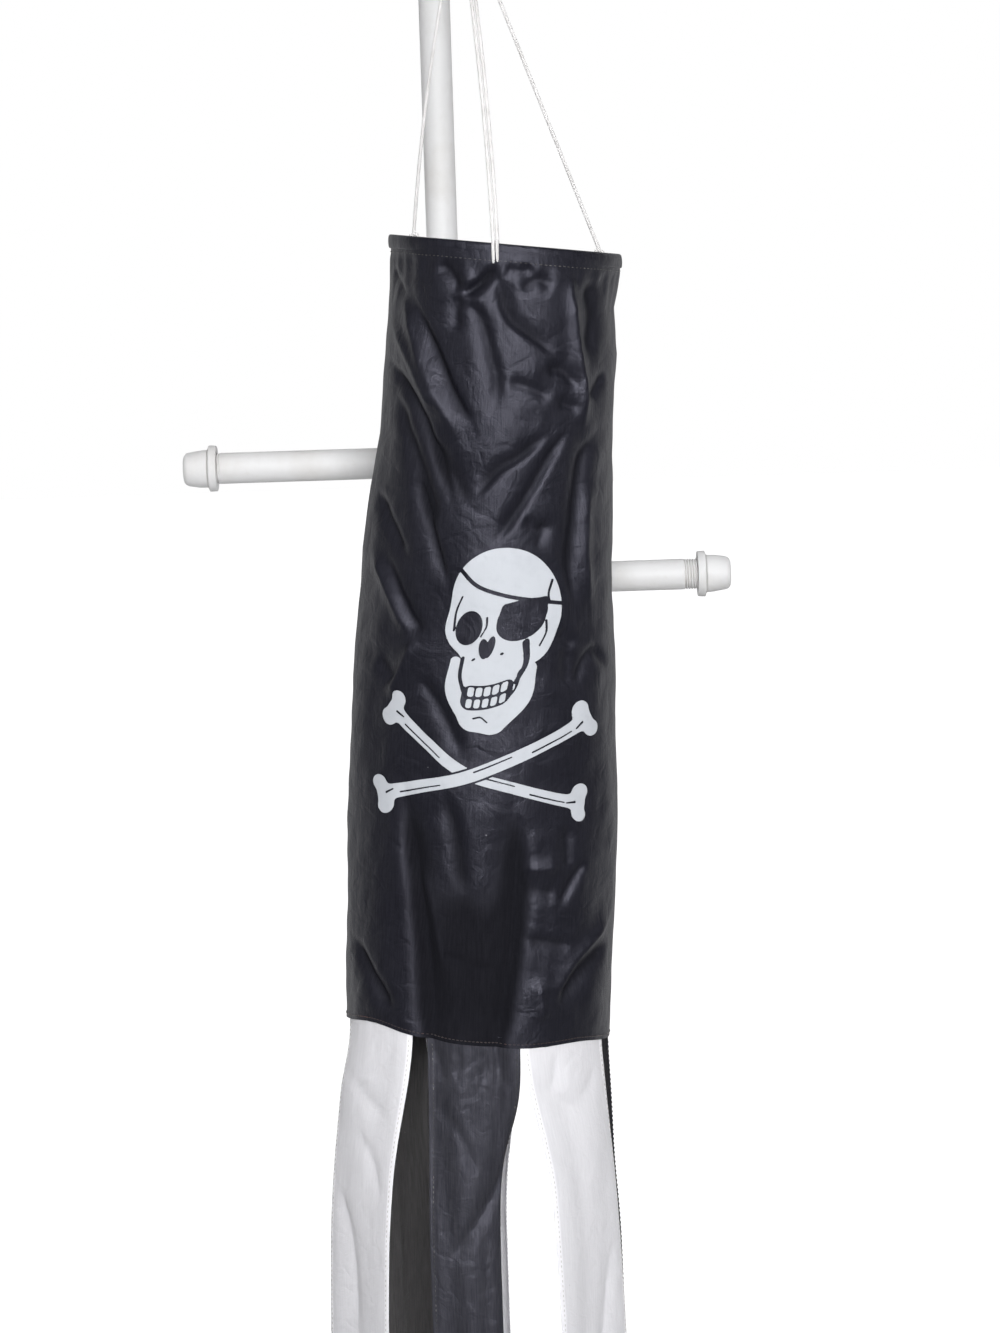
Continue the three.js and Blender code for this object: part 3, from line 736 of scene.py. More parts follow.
# folds of the back, in millimetres from the back line
backFolds = [
    ([(-70, 20), (-40, 70), (-20, 130)], 7, 4.0, 1.5),
    ([(-20, 12), (-5, 50), (-8, 110)], 6, 3.4, 1.0),
    ([(60, 14), (35, 60), (18, 118)], 6, 4.0, -1.5),
    ([(40, 90), (70, 150), (80, 210)], 7, 3.6, 1.0),
    ([(-90, 120), (-55, 170), (-40, 240)], 7, 4.4, 1.6),
    ([(10, 140), (-6, 200), (4, 270)], 6, 3.4, 0.8),
    ([(85, 230), (50, 290), (42, 360)], 7, 4.0, 1.2),
    ([(-75, 270), (-50, 340), (-46, 430), (-40, 505)], 8, 6.0, 2.2),
    ([(-5, 330), (8, 400), (2, 500)], 8, 6.4, -2.0),
    ([(55, 380), (48, 440), (58, 505)], 7, 4.8, 1.2),
    ([(-30, 250), (0, 262), (30, 255)], 5, 1.8, 0),
]


def halfDepth(halfWidth):
    # the half depth that keeps an oval (Ramanujan's sum) at the sock's distance around
    depth = np.array(halfWidth, float)
    for _ in range(40):
        root = np.sqrt((3 * halfWidth + depth) * (halfWidth + 3 * depth))
        depth = depth + (sockSet["around"] / np.pi - (3 * (halfWidth + depth) - root)) * 0.5
    return depth


def onSock(turn, along, inset=0.0):
    # an oval whose half width, middle and tilt change from the hoop down to the hem
    wide = lerp(sockSet["topHalf"], sockSet["half"], smooth(along, 0.05, 0.75))
    deep = halfDepth(wide)
    away = (wide - inset) * np.sin(turn)
    tilt = np.radians(lerp(hoopSet["tilt"], sockSet["tilt"], along))
    x = lerp(hoopCentre[0], sockSet["bottomX"], along) + away
    y = hang[1] - (deep - inset) * np.cos(turn)
    fallen = sockSet["start"] + along * (sockSet["drop"] - sockSet["start"])
    z = hoopCentre[2] - fallen - np.tan(tilt) * away
    return np.stack(np.broadcast_arrays(x, y, z), -1)


def creased(right, down, folds):
    # the sum over the folds of depth e^(-(t / w)^1.35), t being the distance from the fold's line over
    # its half width; w is less on the fold's steep side, and every fold fades towards its ends
    total = np.zeros_like(right)
    for line, width, depth, lean in folds:
        knots = np.array(line, float)
        path = alongCurve(knots, 8 * (len(knots) - 1) + 1)
        a, b = path[:-1], path[1:]
        run = b - a
        dx = right[..., None] - a[:, 0]
        dy = down[..., None] - a[:, 1]
        share = np.clip((dx * run[:, 0] + dy * run[:, 1]) / (run**2).sum(1), 0, 1)
        px, py = dx - share * run[:, 0], dy - share * run[:, 1]
        far = np.hypot(px, py)
        nearest = far.argmin(-1)[..., None]
        t = np.take_along_axis(far, nearest, -1)[..., 0] / width
        side = np.take_along_axis(np.sign(run[:, 0] * dy - run[:, 1] * dx), nearest, -1)[..., 0]
        reached = (nearest[..., 0] + np.take_along_axis(share, nearest, -1)[..., 0]) / len(run)
        fade = 0.1 + 0.9 * smooth(reached, 0, 0.25) * smooth(1 - reached, 0, 0.25)
        steep = np.where(side * lean < 0, lerp(1, 0.42, min(abs(lean), 2) / 2), 1 + 0.1 * abs(lean))
        total += fade * depth * np.exp(-((t / steep) ** 1.35))
    return total


# how far the two flanks stand out, in millimetres, at some distances below the hoop
leftFlank = [(0, 0), (60, 1.4), (125, 1.4), (165, 4.5), (200, 7), (240, 6), (350, 4.8), (420, 3.5),
             (500, 0.5)]
rightFlank = [(0, 0), (30, -3.4), (60, 0.3), (100, -1.5), (160, -3.9), (205, -4.3), (260, -2.4), (300, -1.4),
              (350, -1.4), (420, 0.8), (500, 0.5)]


def startingCloth():
    rows, columns = sockSet["rows"], sockSet["columns"]
    turn = np.linspace(-np.pi, np.pi, columns, endpoint=False)[None]
    down = 1000 * np.linspace(clothStart, sockSet["drop"], rows)[:, None]
    turn, down = np.broadcast_arrays(turn, down)
    points = onSock(turn, (down / 1000 - sockSet["start"]) / (sockSet["drop"] - sockSet["start"]))
    right = 1000 * sockSet["around"] * turn / (2 * np.pi)
    halfRound = 500 * sockSet["around"]
    backRight = np.where(right > 0, halfRound - right, -halfRound - right)
    inwards = creased(right, down, frontFolds) * smooth(halfRound / 2 + 8 - np.abs(right), 0, 30)
    inwards += creased(backRight, down, backFolds) * smooth(halfRound / 2 + 8 - np.abs(backRight), 0, 30)
    inwards *= sockSet["foldScale"]
    deepest = inwards.copy()
    inwards += 1.5 * wobble(right, down, 9, 80) + 0.8 * wobble(right, down * 0.5, 3, 32)
    inwards += 0.35 * wobble(right, down * 0.6, 5, 13)
    for flank, centre in ((leftFlank, -halfRound / 2), (rightFlank, halfRound / 2)):
        heights, reaches = np.array(flank, float).T
        inwards -= np.interp(down, heights, reaches) * np.exp(-(((right - centre) / 30) ** 2))
    # gathers under the hem
    inwards += 0.9 * np.exp(-down / 16) * np.sin(turn * 34 + 2 * np.sin(turn * 5))
    held = smooth(down, 5, 12) * (1 - 0.4 * smooth(down, 494, 515))
    out = unit(np.stack([np.sin(turn), -np.cos(turn), np.zeros_like(turn)], -1))
    # the bottom hem is drawn up a little where the white tails hang
    lifted = 6.4 * np.exp(-(((right + 68) / 32) ** 2)) + 3.8 * np.exp(-(((right - 66) / 30) ** 2))
    points[..., 2] += 0.001 * lifted * smooth(down, 400, 516)
    # painted shade: a mask of the deepest crease valleys, which darkens the cloth's colour there and makes it
    # rougher
    creaseShade = smooth(deepest * held, 1.0, 5.5)
    return points - out * (inwards * held)[..., None] * 0.001, creaseShade


def simulateCloth(start):
    # the cloth settles under its own weight, held at the hoop and loosely along its length
    rows, columns = start.shape[:2]
    quads, _ = gridFaces(rows, columns, wrapColumns=True)
    piece = newPiece("settling", start, quads, closed=False)
    group = piece.vertex_groups.new(name="held")
    for row in range(rows):
        share = 1.0 if row < 3 or row >= rows - 2 else 0.66
        group.add(list(range(row * columns, (row + 1) * columns)), share, "REPLACE")
    cloth = piece.modifiers.new("cloth", "CLOTH")
    settings = cloth.settings
    settings.quality = 6
    settings.mass = 0.05
    settings.tension_stiffness = settings.compression_stiffness = 12
    settings.shear_stiffness = 4
    settings.bending_stiffness = 0.01
    settings.air_damping = 2
    settings.vertex_group_mass = "held"
    settings.pin_stiffness = 1.0
    settings.shrink_min = -0.03
    settings.shrink_max = -0.03
    cloth.collision_settings.use_collision = False
    cloth.point_cache.frame_start, cloth.point_cache.frame_end = 1, sockSet["frames"]
    for number in range(1, sockSet["frames"] + 1):
        scene.frame_set(number)
    settle(piece)
    co = np.zeros(rows * columns * 3, np.float32)
    piece.data.vertices.foreach_get("co", co)
    bpy.data.objects.remove(piece)
    scene.frame_set(1)
    change = co.reshape(rows, columns, 3) - start
    # the finest ripples are evened out with the weights 1 4 6 4 1, round the sock and then down it
    weights = np.array([1, 4, 6, 4, 1]) / 16
    for _ in range(2):
        change = sum(weight * np.roll(change, step - 2, 1) for step, weight in enumerate(weights))
        ends = np.pad(change, ((2, 2), (0, 0), (0, 0)), mode="edge")
        change = sum(weight * ends[step:step + rows] for step, weight in enumerate(weights))
    far = np.linalg.norm(change, axis=-1, keepdims=True)
    return start + change * np.minimum(1, sockSet["furthest"] / np.maximum(far, 1e-9))


clothGrid, clothCreaseShade = startingCloth()
clothGrid = simulateCloth(clothGrid)
print("cloth settled")


def gridNormals(points):
    # the cross product of the step along a row and the step down a column, pointing out
    acrossStep = np.roll(points, -1, 1) - np.roll(points, 1, 1)
    downStep = np.gradient(points, axis=0)
    return unit(np.cross(downStep, acrossStep))


clothNormals = gridNormals(clothGrid)


def onCloth(values, right, down):
    # values of the grid between its points, by the Catmull-Rom cubic in both directions
    rows, columns = sockSet["rows"], sockSet["columns"]
    column = (right / (1000 * sockSet["around"]) + 0.5) * columns
    row = np.clip((down / 1000 - clothStart) / clothSpan, 0, 1) * (rows - 1)

    def weights(f):
        return [0.5 * (-f + 2 * f**2 - f**3), 0.5 * (2 - 5 * f**2 + 3 * f**3),
                0.5 * (f + 4 * f**2 - 3 * f**3), 0.5 * (f**3 - f**2)]

    c0, r0 = np.floor(column).astype(int), np.floor(row).astype(int)
    total = 0
    for i, rowShare in enumerate(weights(row - r0)):
        for j, columnShare in enumerate(weights(column - c0)):
            picked = values[np.clip(r0 + i - 1, 0, rows - 1), (c0 + j - 1) % columns]
            total = total + (rowShare * columnShare)[..., None] * picked
    return total


def sockCloth():
    rows, columns = sockSet["rows"], sockSet["columns"]
    quads, corner = gridFaces(rows, columns, wrapColumns=True)
    size = [1000 * sockSet["around"] / columns, 1000 * clothSpan / (rows - 1)]
    piece = newPiece("sock_cloth", clothGrid, quads[:, ::-1], uv=(corner * size)[:, ::-1], closed=False,
                     masks={"creaseShade": clothCreaseShade})
    return finishPiece(piece, blackNylon, "sock", ["sock_body"])


sock = sockCloth()
print("sock made")


# ---- hem sleeve round the hoop ----
def hemSleeve():
    # a soft round-cornered strip carried round the tilted hoop, swelling and sinking a little
    s = sleeveSet
    w = s["outer"] - s["inner"]
    corners = [(s["inner"] + 0.0012, -s["down"] + 0.001), (s["outer"] - 0.0004, -s["down"]),
               (s["outer"], 0), (s["outer"] - 0.0006, s["up"]), (s["inner"] + 0.0008, s["up"]),
               (s["inner"], 0), (s["inner"] + 0.0012, -s["down"] + 0.001)]
    section = roundCorners(corners, 0.35 * w, 6)[:-1]
    columns = 360
    bearing = np.linspace(0, 2 * np.pi, columns, endpoint=False)
    ring = bearing * 76
    uneven = 0.00028 * wobble(ring, ring * 0, 11, 26) + 0.00012 * wobble(ring, ring * 0, 12, 7)
    radius = section[:, :1] + uneven[None] * np.sign(section[:, :1] - 0.5 * (s["outer"] + s["inner"]))
    lift = section[:, 1:] + 0.00035 * wobble(ring, ring * 0, 13, 31)[None] * (section[:, 1:] < 0)
    points = onHoop(np.degrees(bearing)[None], radius, lift)
    quads, corner = gridFaces(len(section), columns, wrapColumns=True, wrapRows=True)
    uv = corner * [479 / columns, 24 / len(section)]
    piece = newPiece("hem_sleeve_cloth", points, quads, uv=uv)
    return finishPiece(piece, blackNylon, "sock", ["hem_sleeve"])


hem = hemSleeve()


# ---- stitches ----
def stitchRow(name, centres, forward, outward, length, width, material, body):
    # one small rounded bar for each stitch: an eight-sided ball stretched along the seam
    a = np.linspace(0, 2 * np.pi, 8, endpoint=False)[None]
    b = np.linspace(0.15, np.pi - 0.15, 5)[:, None]
    ball = np.stack([np.cos(b) + 0 * a, np.sin(b) * np.cos(a), np.sin(b) * np.sin(a)], -1).reshape(-1, 3)
    ball = np.concatenate([ball, [[1, 0, 0], [-1, 0, 0]]])
    side = np.cross(outward, forward)
    x, y, z = (ball[None, :, i, None] for i in range(3))
    half = np.broadcast_to(np.asarray(length, float) / 2, (len(centres),))[:, None, None]
    points = centres[:, None] + x * half * forward[:, None] + width / 2 * (
        y * side[:, None] + z * outward[:, None]
    )
    quads, _ = gridFaces(5, 8, wrapColumns=True)
    ring = np.arange(8)
    tris = np.concatenate([np.stack([ring, (ring + 1) % 8, np.full(8, 40)], -1),
                           np.stack([(ring + 1) % 8 + 32, ring + 32, np.full(8, 41)], -1)])
    step = (np.arange(len(centres)) * len(ball))[:, None, None]
    quads = (quads[None] + step).reshape(-1, 4)
    tris = (tris[None] + step).reshape(-1, 3)
    piece = newPiece(name, points.reshape(-1, 3), quads, tris, closed=False)
    firstVolume = volume(points[0] - points[0].mean(0), quads[:32], tris[:16])
    if firstVolume < 0:
        piece.data.flip_normals()
    return finishPiece(piece, material, body)


def seamOnCloth(right, down, lift=0.0002):
    # centres, directions and outward normals along a line drawn on the cloth
    centres = onCloth(clothGrid, right, down) + lift * onCloth(clothNormals, right, down)
    ahead = onCloth(clothGrid, right + 0.5, down) - onCloth(clothGrid, right - 0.5, down)
    return centres, unit(ahead), unit(onCloth(clothNormals, right, down))


def hemStitches():
    rng = np.random.default_rng(8)
    right = np.arange(-238, 238, 3.3)
    down = 6.6 + 0.4 * wobble(right, right * 0, 21, 40)
    centres, ahead, outward = seamOnCloth(right, down)
    length = 0.0019 + 0.0005 * rng.uniform(-1, 1, len(right))
    return stitchRow("hem_stitches", centres, ahead, outward, length, 0.0005, greyThread, "sock")


topStitches = hemStitches()
rightOnes = np.arange(-238, 238, 2.4)
bottomStitches = stitchRow("bottom_stitches", *seamOnCloth(rightOnes, 0 * rightOnes + 513.4), 0.002, 0.0006,
                           darkThread, "sock")
print("hem made")


# ---- emblem: a plain skull with an eye patch over two crossed bones ----
# distances are in millimetres and negative inside the ink
emblemSet = dict(middle=(4.0, 247.5), rise=15.0, lean=7.0, cell=0.42, over=0.0003)
boneSet = [
    dict(line=[(-67, 356), (-41, 348), (-14, 339), (14, 324), (42, 308), (61, 297)], radius=(4.0, 6.3)),
    dict(line=[(-61, 299), (-40, 316), (-14, 335), (15, 343), (40, 349), (58, 352)], radius=(3.8, 5.8)),
]


def disc(x, y, cx, cy, rx, ry, turn=0.0):
    # distance to an oval: its scaled radius less one, times the shorter half axis
    c, s = math.cos(math.radians(turn)), math.sin(math.radians(turn))
    u, v = (x - cx) * c + (y - cy) * s, (y - cy) * c - (x - cx) * s
    return (np.sqrt((u / rx) ** 2 + (v / ry) ** 2 + 1e-9) - 1) * min(rx, ry)


def slab(x, y, cx, cy, hx, hy, rounding):
    # distance to a rectangle with round corners
    dx, dy = np.abs(x - cx) - hx + rounding, np.abs(y - cy) - hy + rounding
    return np.hypot(np.maximum(dx, 0), np.maximum(dy, 0)) + np.minimum(np.maximum(dx, dy), 0) - rounding


def stroke(x, y, line, radius, endRadius=None, flare=0.0):
    # distance to a bent line drawn with a pen whose radius runs from its start to its end, and
    # grows by the flare towards both
    path = alongCurve(np.array(line, float), 8 * (len(line) - 1) + 1)
    best = np.full_like(x, 1e9)
    endRadius = radius if endRadius is None else endRadius
    for i in range(len(path) - 1):
        a, run = path[i], path[i + 1] - path[i]
        share = np.clip(((x - a[0]) * run[0] + (y - a[1]) * run[1]) / (run @ run), 0, 1)
        way = (i + share) / (len(path) - 1)
        width = lerp(radius, endRadius, way) + flare * (2 * way - 1) ** 4
        best = np.minimum(best, np.hypot(x - a[0] - share * run[0], y - a[1] - share * run[1]) - width)
    return best


def melt(a, b, size):
    # the union of two shapes with a soft fillet
    h = np.clip(0.5 + 0.5 * (b - a) / size, 0, 1)
    return lerp(b, a, h) - size * h * (1 - h)


def skullInk(u, v, x, y):
    # u and v are the head's own axes, x and y the face's, whose x rises a little more to the right
    head = melt(disc(u, v, 1.5, 25, 34, 36), disc(u, v, -4, 0, 28.5, 17), 12)
    upperJaw = slab(u, v, -3, -21, 16.5, 13, 7)
    jaw = melt(stroke(u, v, [(-23, -19), (-21.5, -38), (-10, -53)], 3.4, 6),
               stroke(u, v, [(20.5, -13), (18.5, -33), (5, -53)], 4, 6.5), 4)
    jaw = melt(jaw, slab(u, v, -3, -53, 10, 8.5, 6), 5)
    ink = np.minimum(melt(head, upperJaw, 5), jaw)
    # mouth: a dark smile with two rows of teeth left in it
    smile = y + 37 - 0.014 * (x + 2) ** 2
    mouth = slab(x, smile, -2, 0, 15.5, 8.2, 6)
    cell = np.mod(x + 2 + 2.5, 5.0) - 2.5
    teeth = np.minimum(slab(cell, smile, 0, 3.9, 1.95, 3.1, 1.4), slab(cell, smile, 0, -3.8, 1.8, 2.9, 1.3))
    teeth = np.maximum(teeth, np.abs(x + 2) - 12.6)
    ink = np.minimum(np.maximum(ink, -mouth), teeth)
    cheekGap = np.minimum(stroke(x, y, [(17, -4), (19, -18), (14.5, -30)], 2.3, 1.3),
                          stroke(x, y, [(-21, -8), (-20.5, -20), (-16.5, -31)], 1.3, 1.0))
    socket = disc(x, y, -20.5, 12, 8.4, 11.5, 10)
    nose = np.minimum(disc(x, y, -8.8, -3.8, 3.0, 7.0, 12), disc(x, y, -5.2, -3.2, 2.8, 7.2, -8))
    patch = melt(disc(x, y, 12, 11.5, 15.5, 13.5), slab(x, y, 13, 18.5, 15, 6, 3), 3)
    strap = stroke(x, y, [(-33, 54), (-20, 40), (-2, 30.5), (16, 24), (38, 17)], 1.15, 1.2)
    lines = np.minimum(stroke(x, y, [(29, 34), (27.5, 26), (29.5, 19)], 1.0, 0.6),
                       stroke(x, y, [(-28, 34), (-30.5, 24), (-30, 12)], 0.6, 0.8))
    brow = np.minimum(stroke(x, y, [(28, 8), (29, 0), (26, -8)], 0.8, 0.6),
                      stroke(x, y, [(-10, 17), (-9.5, 11), (-12, 5)], 0.7, 0.5))
    marks = np.minimum(disc(x, y, 3, -9, 1.2, 0.9), disc(x, y, -14, -10, 1.3, 0.8, 30))
    marks = np.minimum(marks, stroke(u, v, [(-7, -53), (-3, -51.5), (1, -54)], 0.6, 0.5))
    for dark in (cheekGap, socket, nose, patch, strap, lines, brow, marks):
        ink = np.maximum(ink, -dark)
    return ink


def boneInk(x, y, bone):
    # a shaft with two knobs on each end, less thin lines drawn along it
    line = np.array(bone["line"], float)
    shaft, knuckle = bone["radius"]
    ink = stroke(x, y, line, shaft, flare=1.4)
    for tip, inner in ((line[0], line[1]), (line[-1], line[-2])):
        way = unit(tip - inner)
        side = np.array([-way[1], way[0]])
        for share, reach, size in ((1, 1.5, 1.0), (-1, -0.5, 1.12)):
            place = tip + way * reach + side * share * 7.2
            knob = disc(x, y, place[0], place[1], knuckle * size, knuckle * size * 0.84,
                        math.degrees(math.atan2(way[1], way[0])) + 20 * share)
            ink = melt(ink, knob, 3.4)
        ink = np.maximum(ink, -stroke(x, y, [tip - way * 3, tip - way * 9 + side * 1.4], 0.75, 0.5))
    path = alongCurve(line, 41)
    for start, end, offset in ((0.1, 0.34, 1.3), (0.46, 0.62, -1.5), (0.68, 0.92, 1.2)):
        part = path[int(start * 40): int(end * 40) + 1]
        way = unit(part[-1] - part[0])
        pen = part + np.array([-way[1], way[0]]) * offset
        ink = np.maximum(ink, -stroke(x, y, pen[::2], 0.55, 0.4))
    return ink


def emblemInk(right, down):
    # the head leans to the right; across the face one axis rises to the right
    rise, lean = np.radians(emblemSet["rise"]), np.radians(emblemSet["lean"])
    x, y = right - emblemSet["middle"][0], emblemSet["middle"][1] - down
    area = np.cos(rise) * np.cos(lean) - np.sin(lean) * np.sin(rise)
    skull = skullInk(np.cos(lean) * x - np.sin(lean) * y, np.cos(lean) * y + np.sin(lean) * x,
                     (np.cos(lean) * x - np.sin(lean) * y) / area,
                     (np.cos(rise) * y - np.sin(rise) * x) / area)
    over, under = (boneInk(right, down, bone) for bone in boneSet)
    bones = np.minimum(over, np.maximum(under, 1.3 - over))
    return np.minimum(skull, np.maximum(bones, 2.2 - skull))


def emblem():
    # cells of a fine grid whose centres lie in the ink; corners near its edge move onto the edge
    cell = emblemSet["cell"]
    right, down = np.meshgrid(np.arange(-88, 84, cell), np.arange(184, 372, cell))
    ink = emblemInk(right, down)
    slopeDown, slopeRight = np.gradient(ink, cell)
    steep = np.maximum(slopeDown**2 + slopeRight**2, 0.3)
    near = np.clip(ink, -0.7 * cell, 0.7 * cell) * (np.abs(ink) < 0.75 * cell)
    quads, _ = gridFaces(*ink.shape)
    centre = emblemInk(right.ravel()[quads].mean(1), down.ravel()[quads].mean(1))
    used, numbers = np.unique(quads[centre < 0], return_inverse=True)
    flat = np.stack([right - near * slopeRight / steep, down - near * slopeDown / steep], -1)
    flat = flat.reshape(-1, 2)[used]
    points = onCloth(clothGrid, flat[:, 0], flat[:, 1])
    points = points + emblemSet["over"] * unit(onCloth(clothNormals, flat[:, 0], flat[:, 1]))
    faces = numbers.reshape(-1, 4)
    piece = newPiece("emblem_print", points, faces[:, ::-1], uv=flat[faces][:, ::-1], closed=False)
    return finishPiece(piece, printInk, "sock")


emblemPrint = emblem()
print("emblem made")


# ---- tails ----
tailSet = dict(root=0.064, tip=0.054, length=0.5, pitch=0.08, first=-0.0036, hidden=0.007, hem=0.0032,
               columns=60, rows=150)
tailFolds = {
    "tail_front": [
        ([(36, 60), (18, 92), (-4, 128), (-20, 150)], 6, 3.2, -1.6),
        ([(-30, 3), (-24, 14), (-22, 30)], 4, 1.8, 1.0),
        ([(-12, 2), (-9, 12), (-14, 24)], 3.5, 1.6, 0.8),
        ([(6, 2), (9, 13), (5, 26)], 3.5, 1.5, 0.8),
        ([(22, 2), (19, 14), (24, 30)], 3.5, 1.6, -0.8),
        ([(-30, 40), (-10, 60), (4, 90)], 5, 1.6, 0.8),
        ([(-20, 180), (-5, 230), (10, 300)], 7, 2.4, 1.0),
        ([(18, 260), (4, 330), (-10, 420)], 8, 2.6, -1.0),
    ],
    "tail_front_right": [
        ([(-30, 20), (-8, 40), (16, 48)], 4, 1.5, 1.2),
        ([(24, 14), (8, 34), (-14, 44)], 4, 1.4, -1.0),
        ([(-28, 66), (-6, 88), (22, 104)], 5, 1.6, 1.0),
        ([(-10, 4), (-12, 20), (-20, 34)], 3.5, 1.2, 0.8),
        ([(20, 130), (6, 210), (-4, 300)], 8, 2.6, 1.0),
        ([(-22, 240), (-14, 330), (-16, 440)], 8, 2.4, -1.0),
    ],
    "tail_front_left": [
        ([(-26, 30), (0, 52), (20, 60)], 5, 1.5, 1.0),
        ([(22, 10), (4, 30), (-18, 38)], 4, 1.2, -0.8),
        ([(-10, 74), (10, 90), (22, 118)], 5, 1.6, 1.0),
        ([(-24, 110), (-8, 150), (-4, 220)], 7, 2.4, 1.0),
        ([(16, 200), (8, 300), (12, 420)], 8, 2.6, -1.0),
    ],
    "tail_back": [
        ([(-14, 40), (4, 160), (-6, 320)], 8, 2.6, 1.0),
        ([(16, 60), (12, 240), (18, 430)], 7, 2.2, 1.0),
    ],
    "tail_back_left": [
        ([(-12, 30), (2, 140), (-4, 300)], 8, 2.4, 1.0),
        ([(18, 90), (10, 260), (16, 440)], 7, 2.2, 1.0),
    ],
    "tail_back_right": [
        ([(10, 30), (-4, 150), (6, 310)], 8, 2.4, 1.0),
        ([(-18, 80), (-10, 250), (-16, 430)], 7, 2.2, 1.0),
    ],
}
tails = [
    dict(name="tail_front", place=0, white=False, cloth=litFrontNylon, lean=0.001, slide=0.0, drift=(-0.004, 0),
         curl=(0.010, 0.0085, -0.024, 0.02),
         waves=[(0.05, 0.16, 2.2, 0.0, 0.25), (-0.3, 0.14, 2.4, 0.02, 1.0), (0.22, 0.12, 2.8, 0.1, 0.6)]),
    dict(name="tail_front_right", place=1, white=True, wide=1.07, lean=0.005, slide=-0.0118,
         drift=(0.002, -0.003), curl=(0.027, 0.014, -0.03, 0.02),
         waves=[(-0.15, 0.16, 2.4, 0.0, 0.8), (0.2, 0.2, 2.0, 0.1, 1.0)]),
    dict(name="tail_back_right", place=2, white=False, lean=0.001, slide=-0.011, drift=(0.0055, 0),
         curl=(0.02, 0.015, -0.02, 0.02),
         waves=[(0.1, 0.2, 3.0, 0.0, 0.9)]),
    dict(name="tail_back", place=3, white=True, lean=0.0, slide=0.01, drift=(-0.0116, 0),
         curl=(0.012, 0.01, -0.014, 0.01),
         waves=[(-0.1, 0.2, 2.6, 0.0, 1.0)]),
    # the back left tail is black nylon with light painted into its colour
    dict(name="tail_back_left", place=-2, white=False, cloth=paintedLightNylon, lean=0.002, slide=-0.011,
         drift=(0.0095, 0), curl=(0.02, 0.014, -0.02, 0.02),
         waves=[(0.2, 0.16, 2.6, 0.0, 1.0)]),
    dict(name="tail_front_left", place=-1, white=True, flare=-0.0035, lean=0.008, slide=0.007,
         drift=(-0.0065, 0), curl=(0.03, 0.02, -0.034, 0.02),
         waves=[(0.1, 0.22, 1.8, 0.0, 1.0), (-0.25, 0.2, 1.6, 0.1, 0.7)]),
]


def hemTurns(distance):
    # the oval's turn at each distance along the bottom hem, from a fine running length
    wide = sockSet["half"]
    deep = float(halfDepth(np.array([wide]))[0])
    turn = np.linspace(-1.2 * np.pi, 1.2 * np.pi, 4801)
    speed = np.hypot(wide * np.cos(turn), deep * np.sin(turn))
    length = np.concatenate([[0], np.cumsum((speed[1:] + speed[:-1]) / 2 * np.diff(turn))])
    length -= np.interp(0, turn, length)
    return np.interp(distance, length, turn)


def curled(across, along, curl):
    # beyond a start on each side the strip bends back on a circle, more tightly further down
    startRight, radiusRight, startLeft, radiusLeft = curl
    grown = smooth(along, 0.0, 0.22)
    flat, back = across, np.zeros_like(across)
    for start, radius, sign in ((startRight, radiusRight, 1), (-startLeft, radiusLeft, -1)):
        past = np.maximum(sign * across - start, 0)
        bend = np.maximum(grown / radius, 1e-4)
        flat = flat + sign * (np.sin(bend * past) / bend - past)
        back = back + (1 - np.cos(bend * past)) / bend
    return flat, back


def tailPoints(tail, share, along):
    # share runs from -0.5 to 0.5 across the strip; the root follows the hem, lower down it flattens
    s = tailSet
    centre = s["first"] + tail["place"] * s["pitch"]
    width = lerp(s["root"], s["tip"], along) * tail.get("wide", 1)
    across, back = curled(share * width, along, tail["curl"])
    across = across + tail["slide"] * (1 - smooth(along, 0, 0.2))
    middlePoint = onSock(hemTurns(centre), 1.0)
    side = unit(onSock(hemTurns(centre + 0.001), 1.0) - onSock(hemTurns(centre - 0.001), 1.0))
    out = unit(np.array([side[1], -side[0], 0]))
    hemRight = hemTurns(centre + across) * 1000 * sockSet["around"] / (2 * np.pi)
    hemDown = 0 * hemRight + 1000 * sockSet["drop"]
    onArc = onCloth(clothGrid, hemRight, hemDown) - 0.001 * unit(onCloth(clothNormals, hemRight, hemDown))
    onFlat = middlePoint + side * across[..., None] - out * 0.0012
    flatness = 0.7 * smooth(along, 0, 0.6)[..., None]
    points = lerp(onArc, onFlat, flatness)
    push = tail["lean"] * np.sin(np.clip(along * 2, 0, 1) * np.pi / 2) - back
    for place, spread, depth, start, end in tail["waves"]:
        growth = smooth(along, start - 0.02, start + 0.12) * (1 - smooth(along, end - 0.2, end + 0.05))
        wander = place + 0.06 * np.sin(along * 9 + place * 7)
        push = push - 0.001 * depth * growth * np.exp(-(((share - wander) / spread) ** 2))
    acrossNow = 1000 * share * s["root"]
    downNow = 1000 * along * s["length"]
    push = push - 0.001 * smooth(downNow, 0, 3) * creased(acrossNow, downNow, tailFolds[tail["name"]])
    push = push + 0.0005 * smooth(along, 0, 0.05) * wobble(share * 60, along * 160, 40 + tail["place"], 26)
    points = points + out * push[..., None]
    points[..., 0] += tail["drift"][0] * smooth(along, 0, 0.3)
    points[..., 0] += tail.get("flare", 0) * smooth(-share, 0, 0.5) * smooth(along, 0.02, 0.1)
    points[..., 1] += tail["drift"][1] * smooth(along, 0, 0.3)
    points[..., 2] += -gap - 0.0002 - along * s["length"]
    return points, out


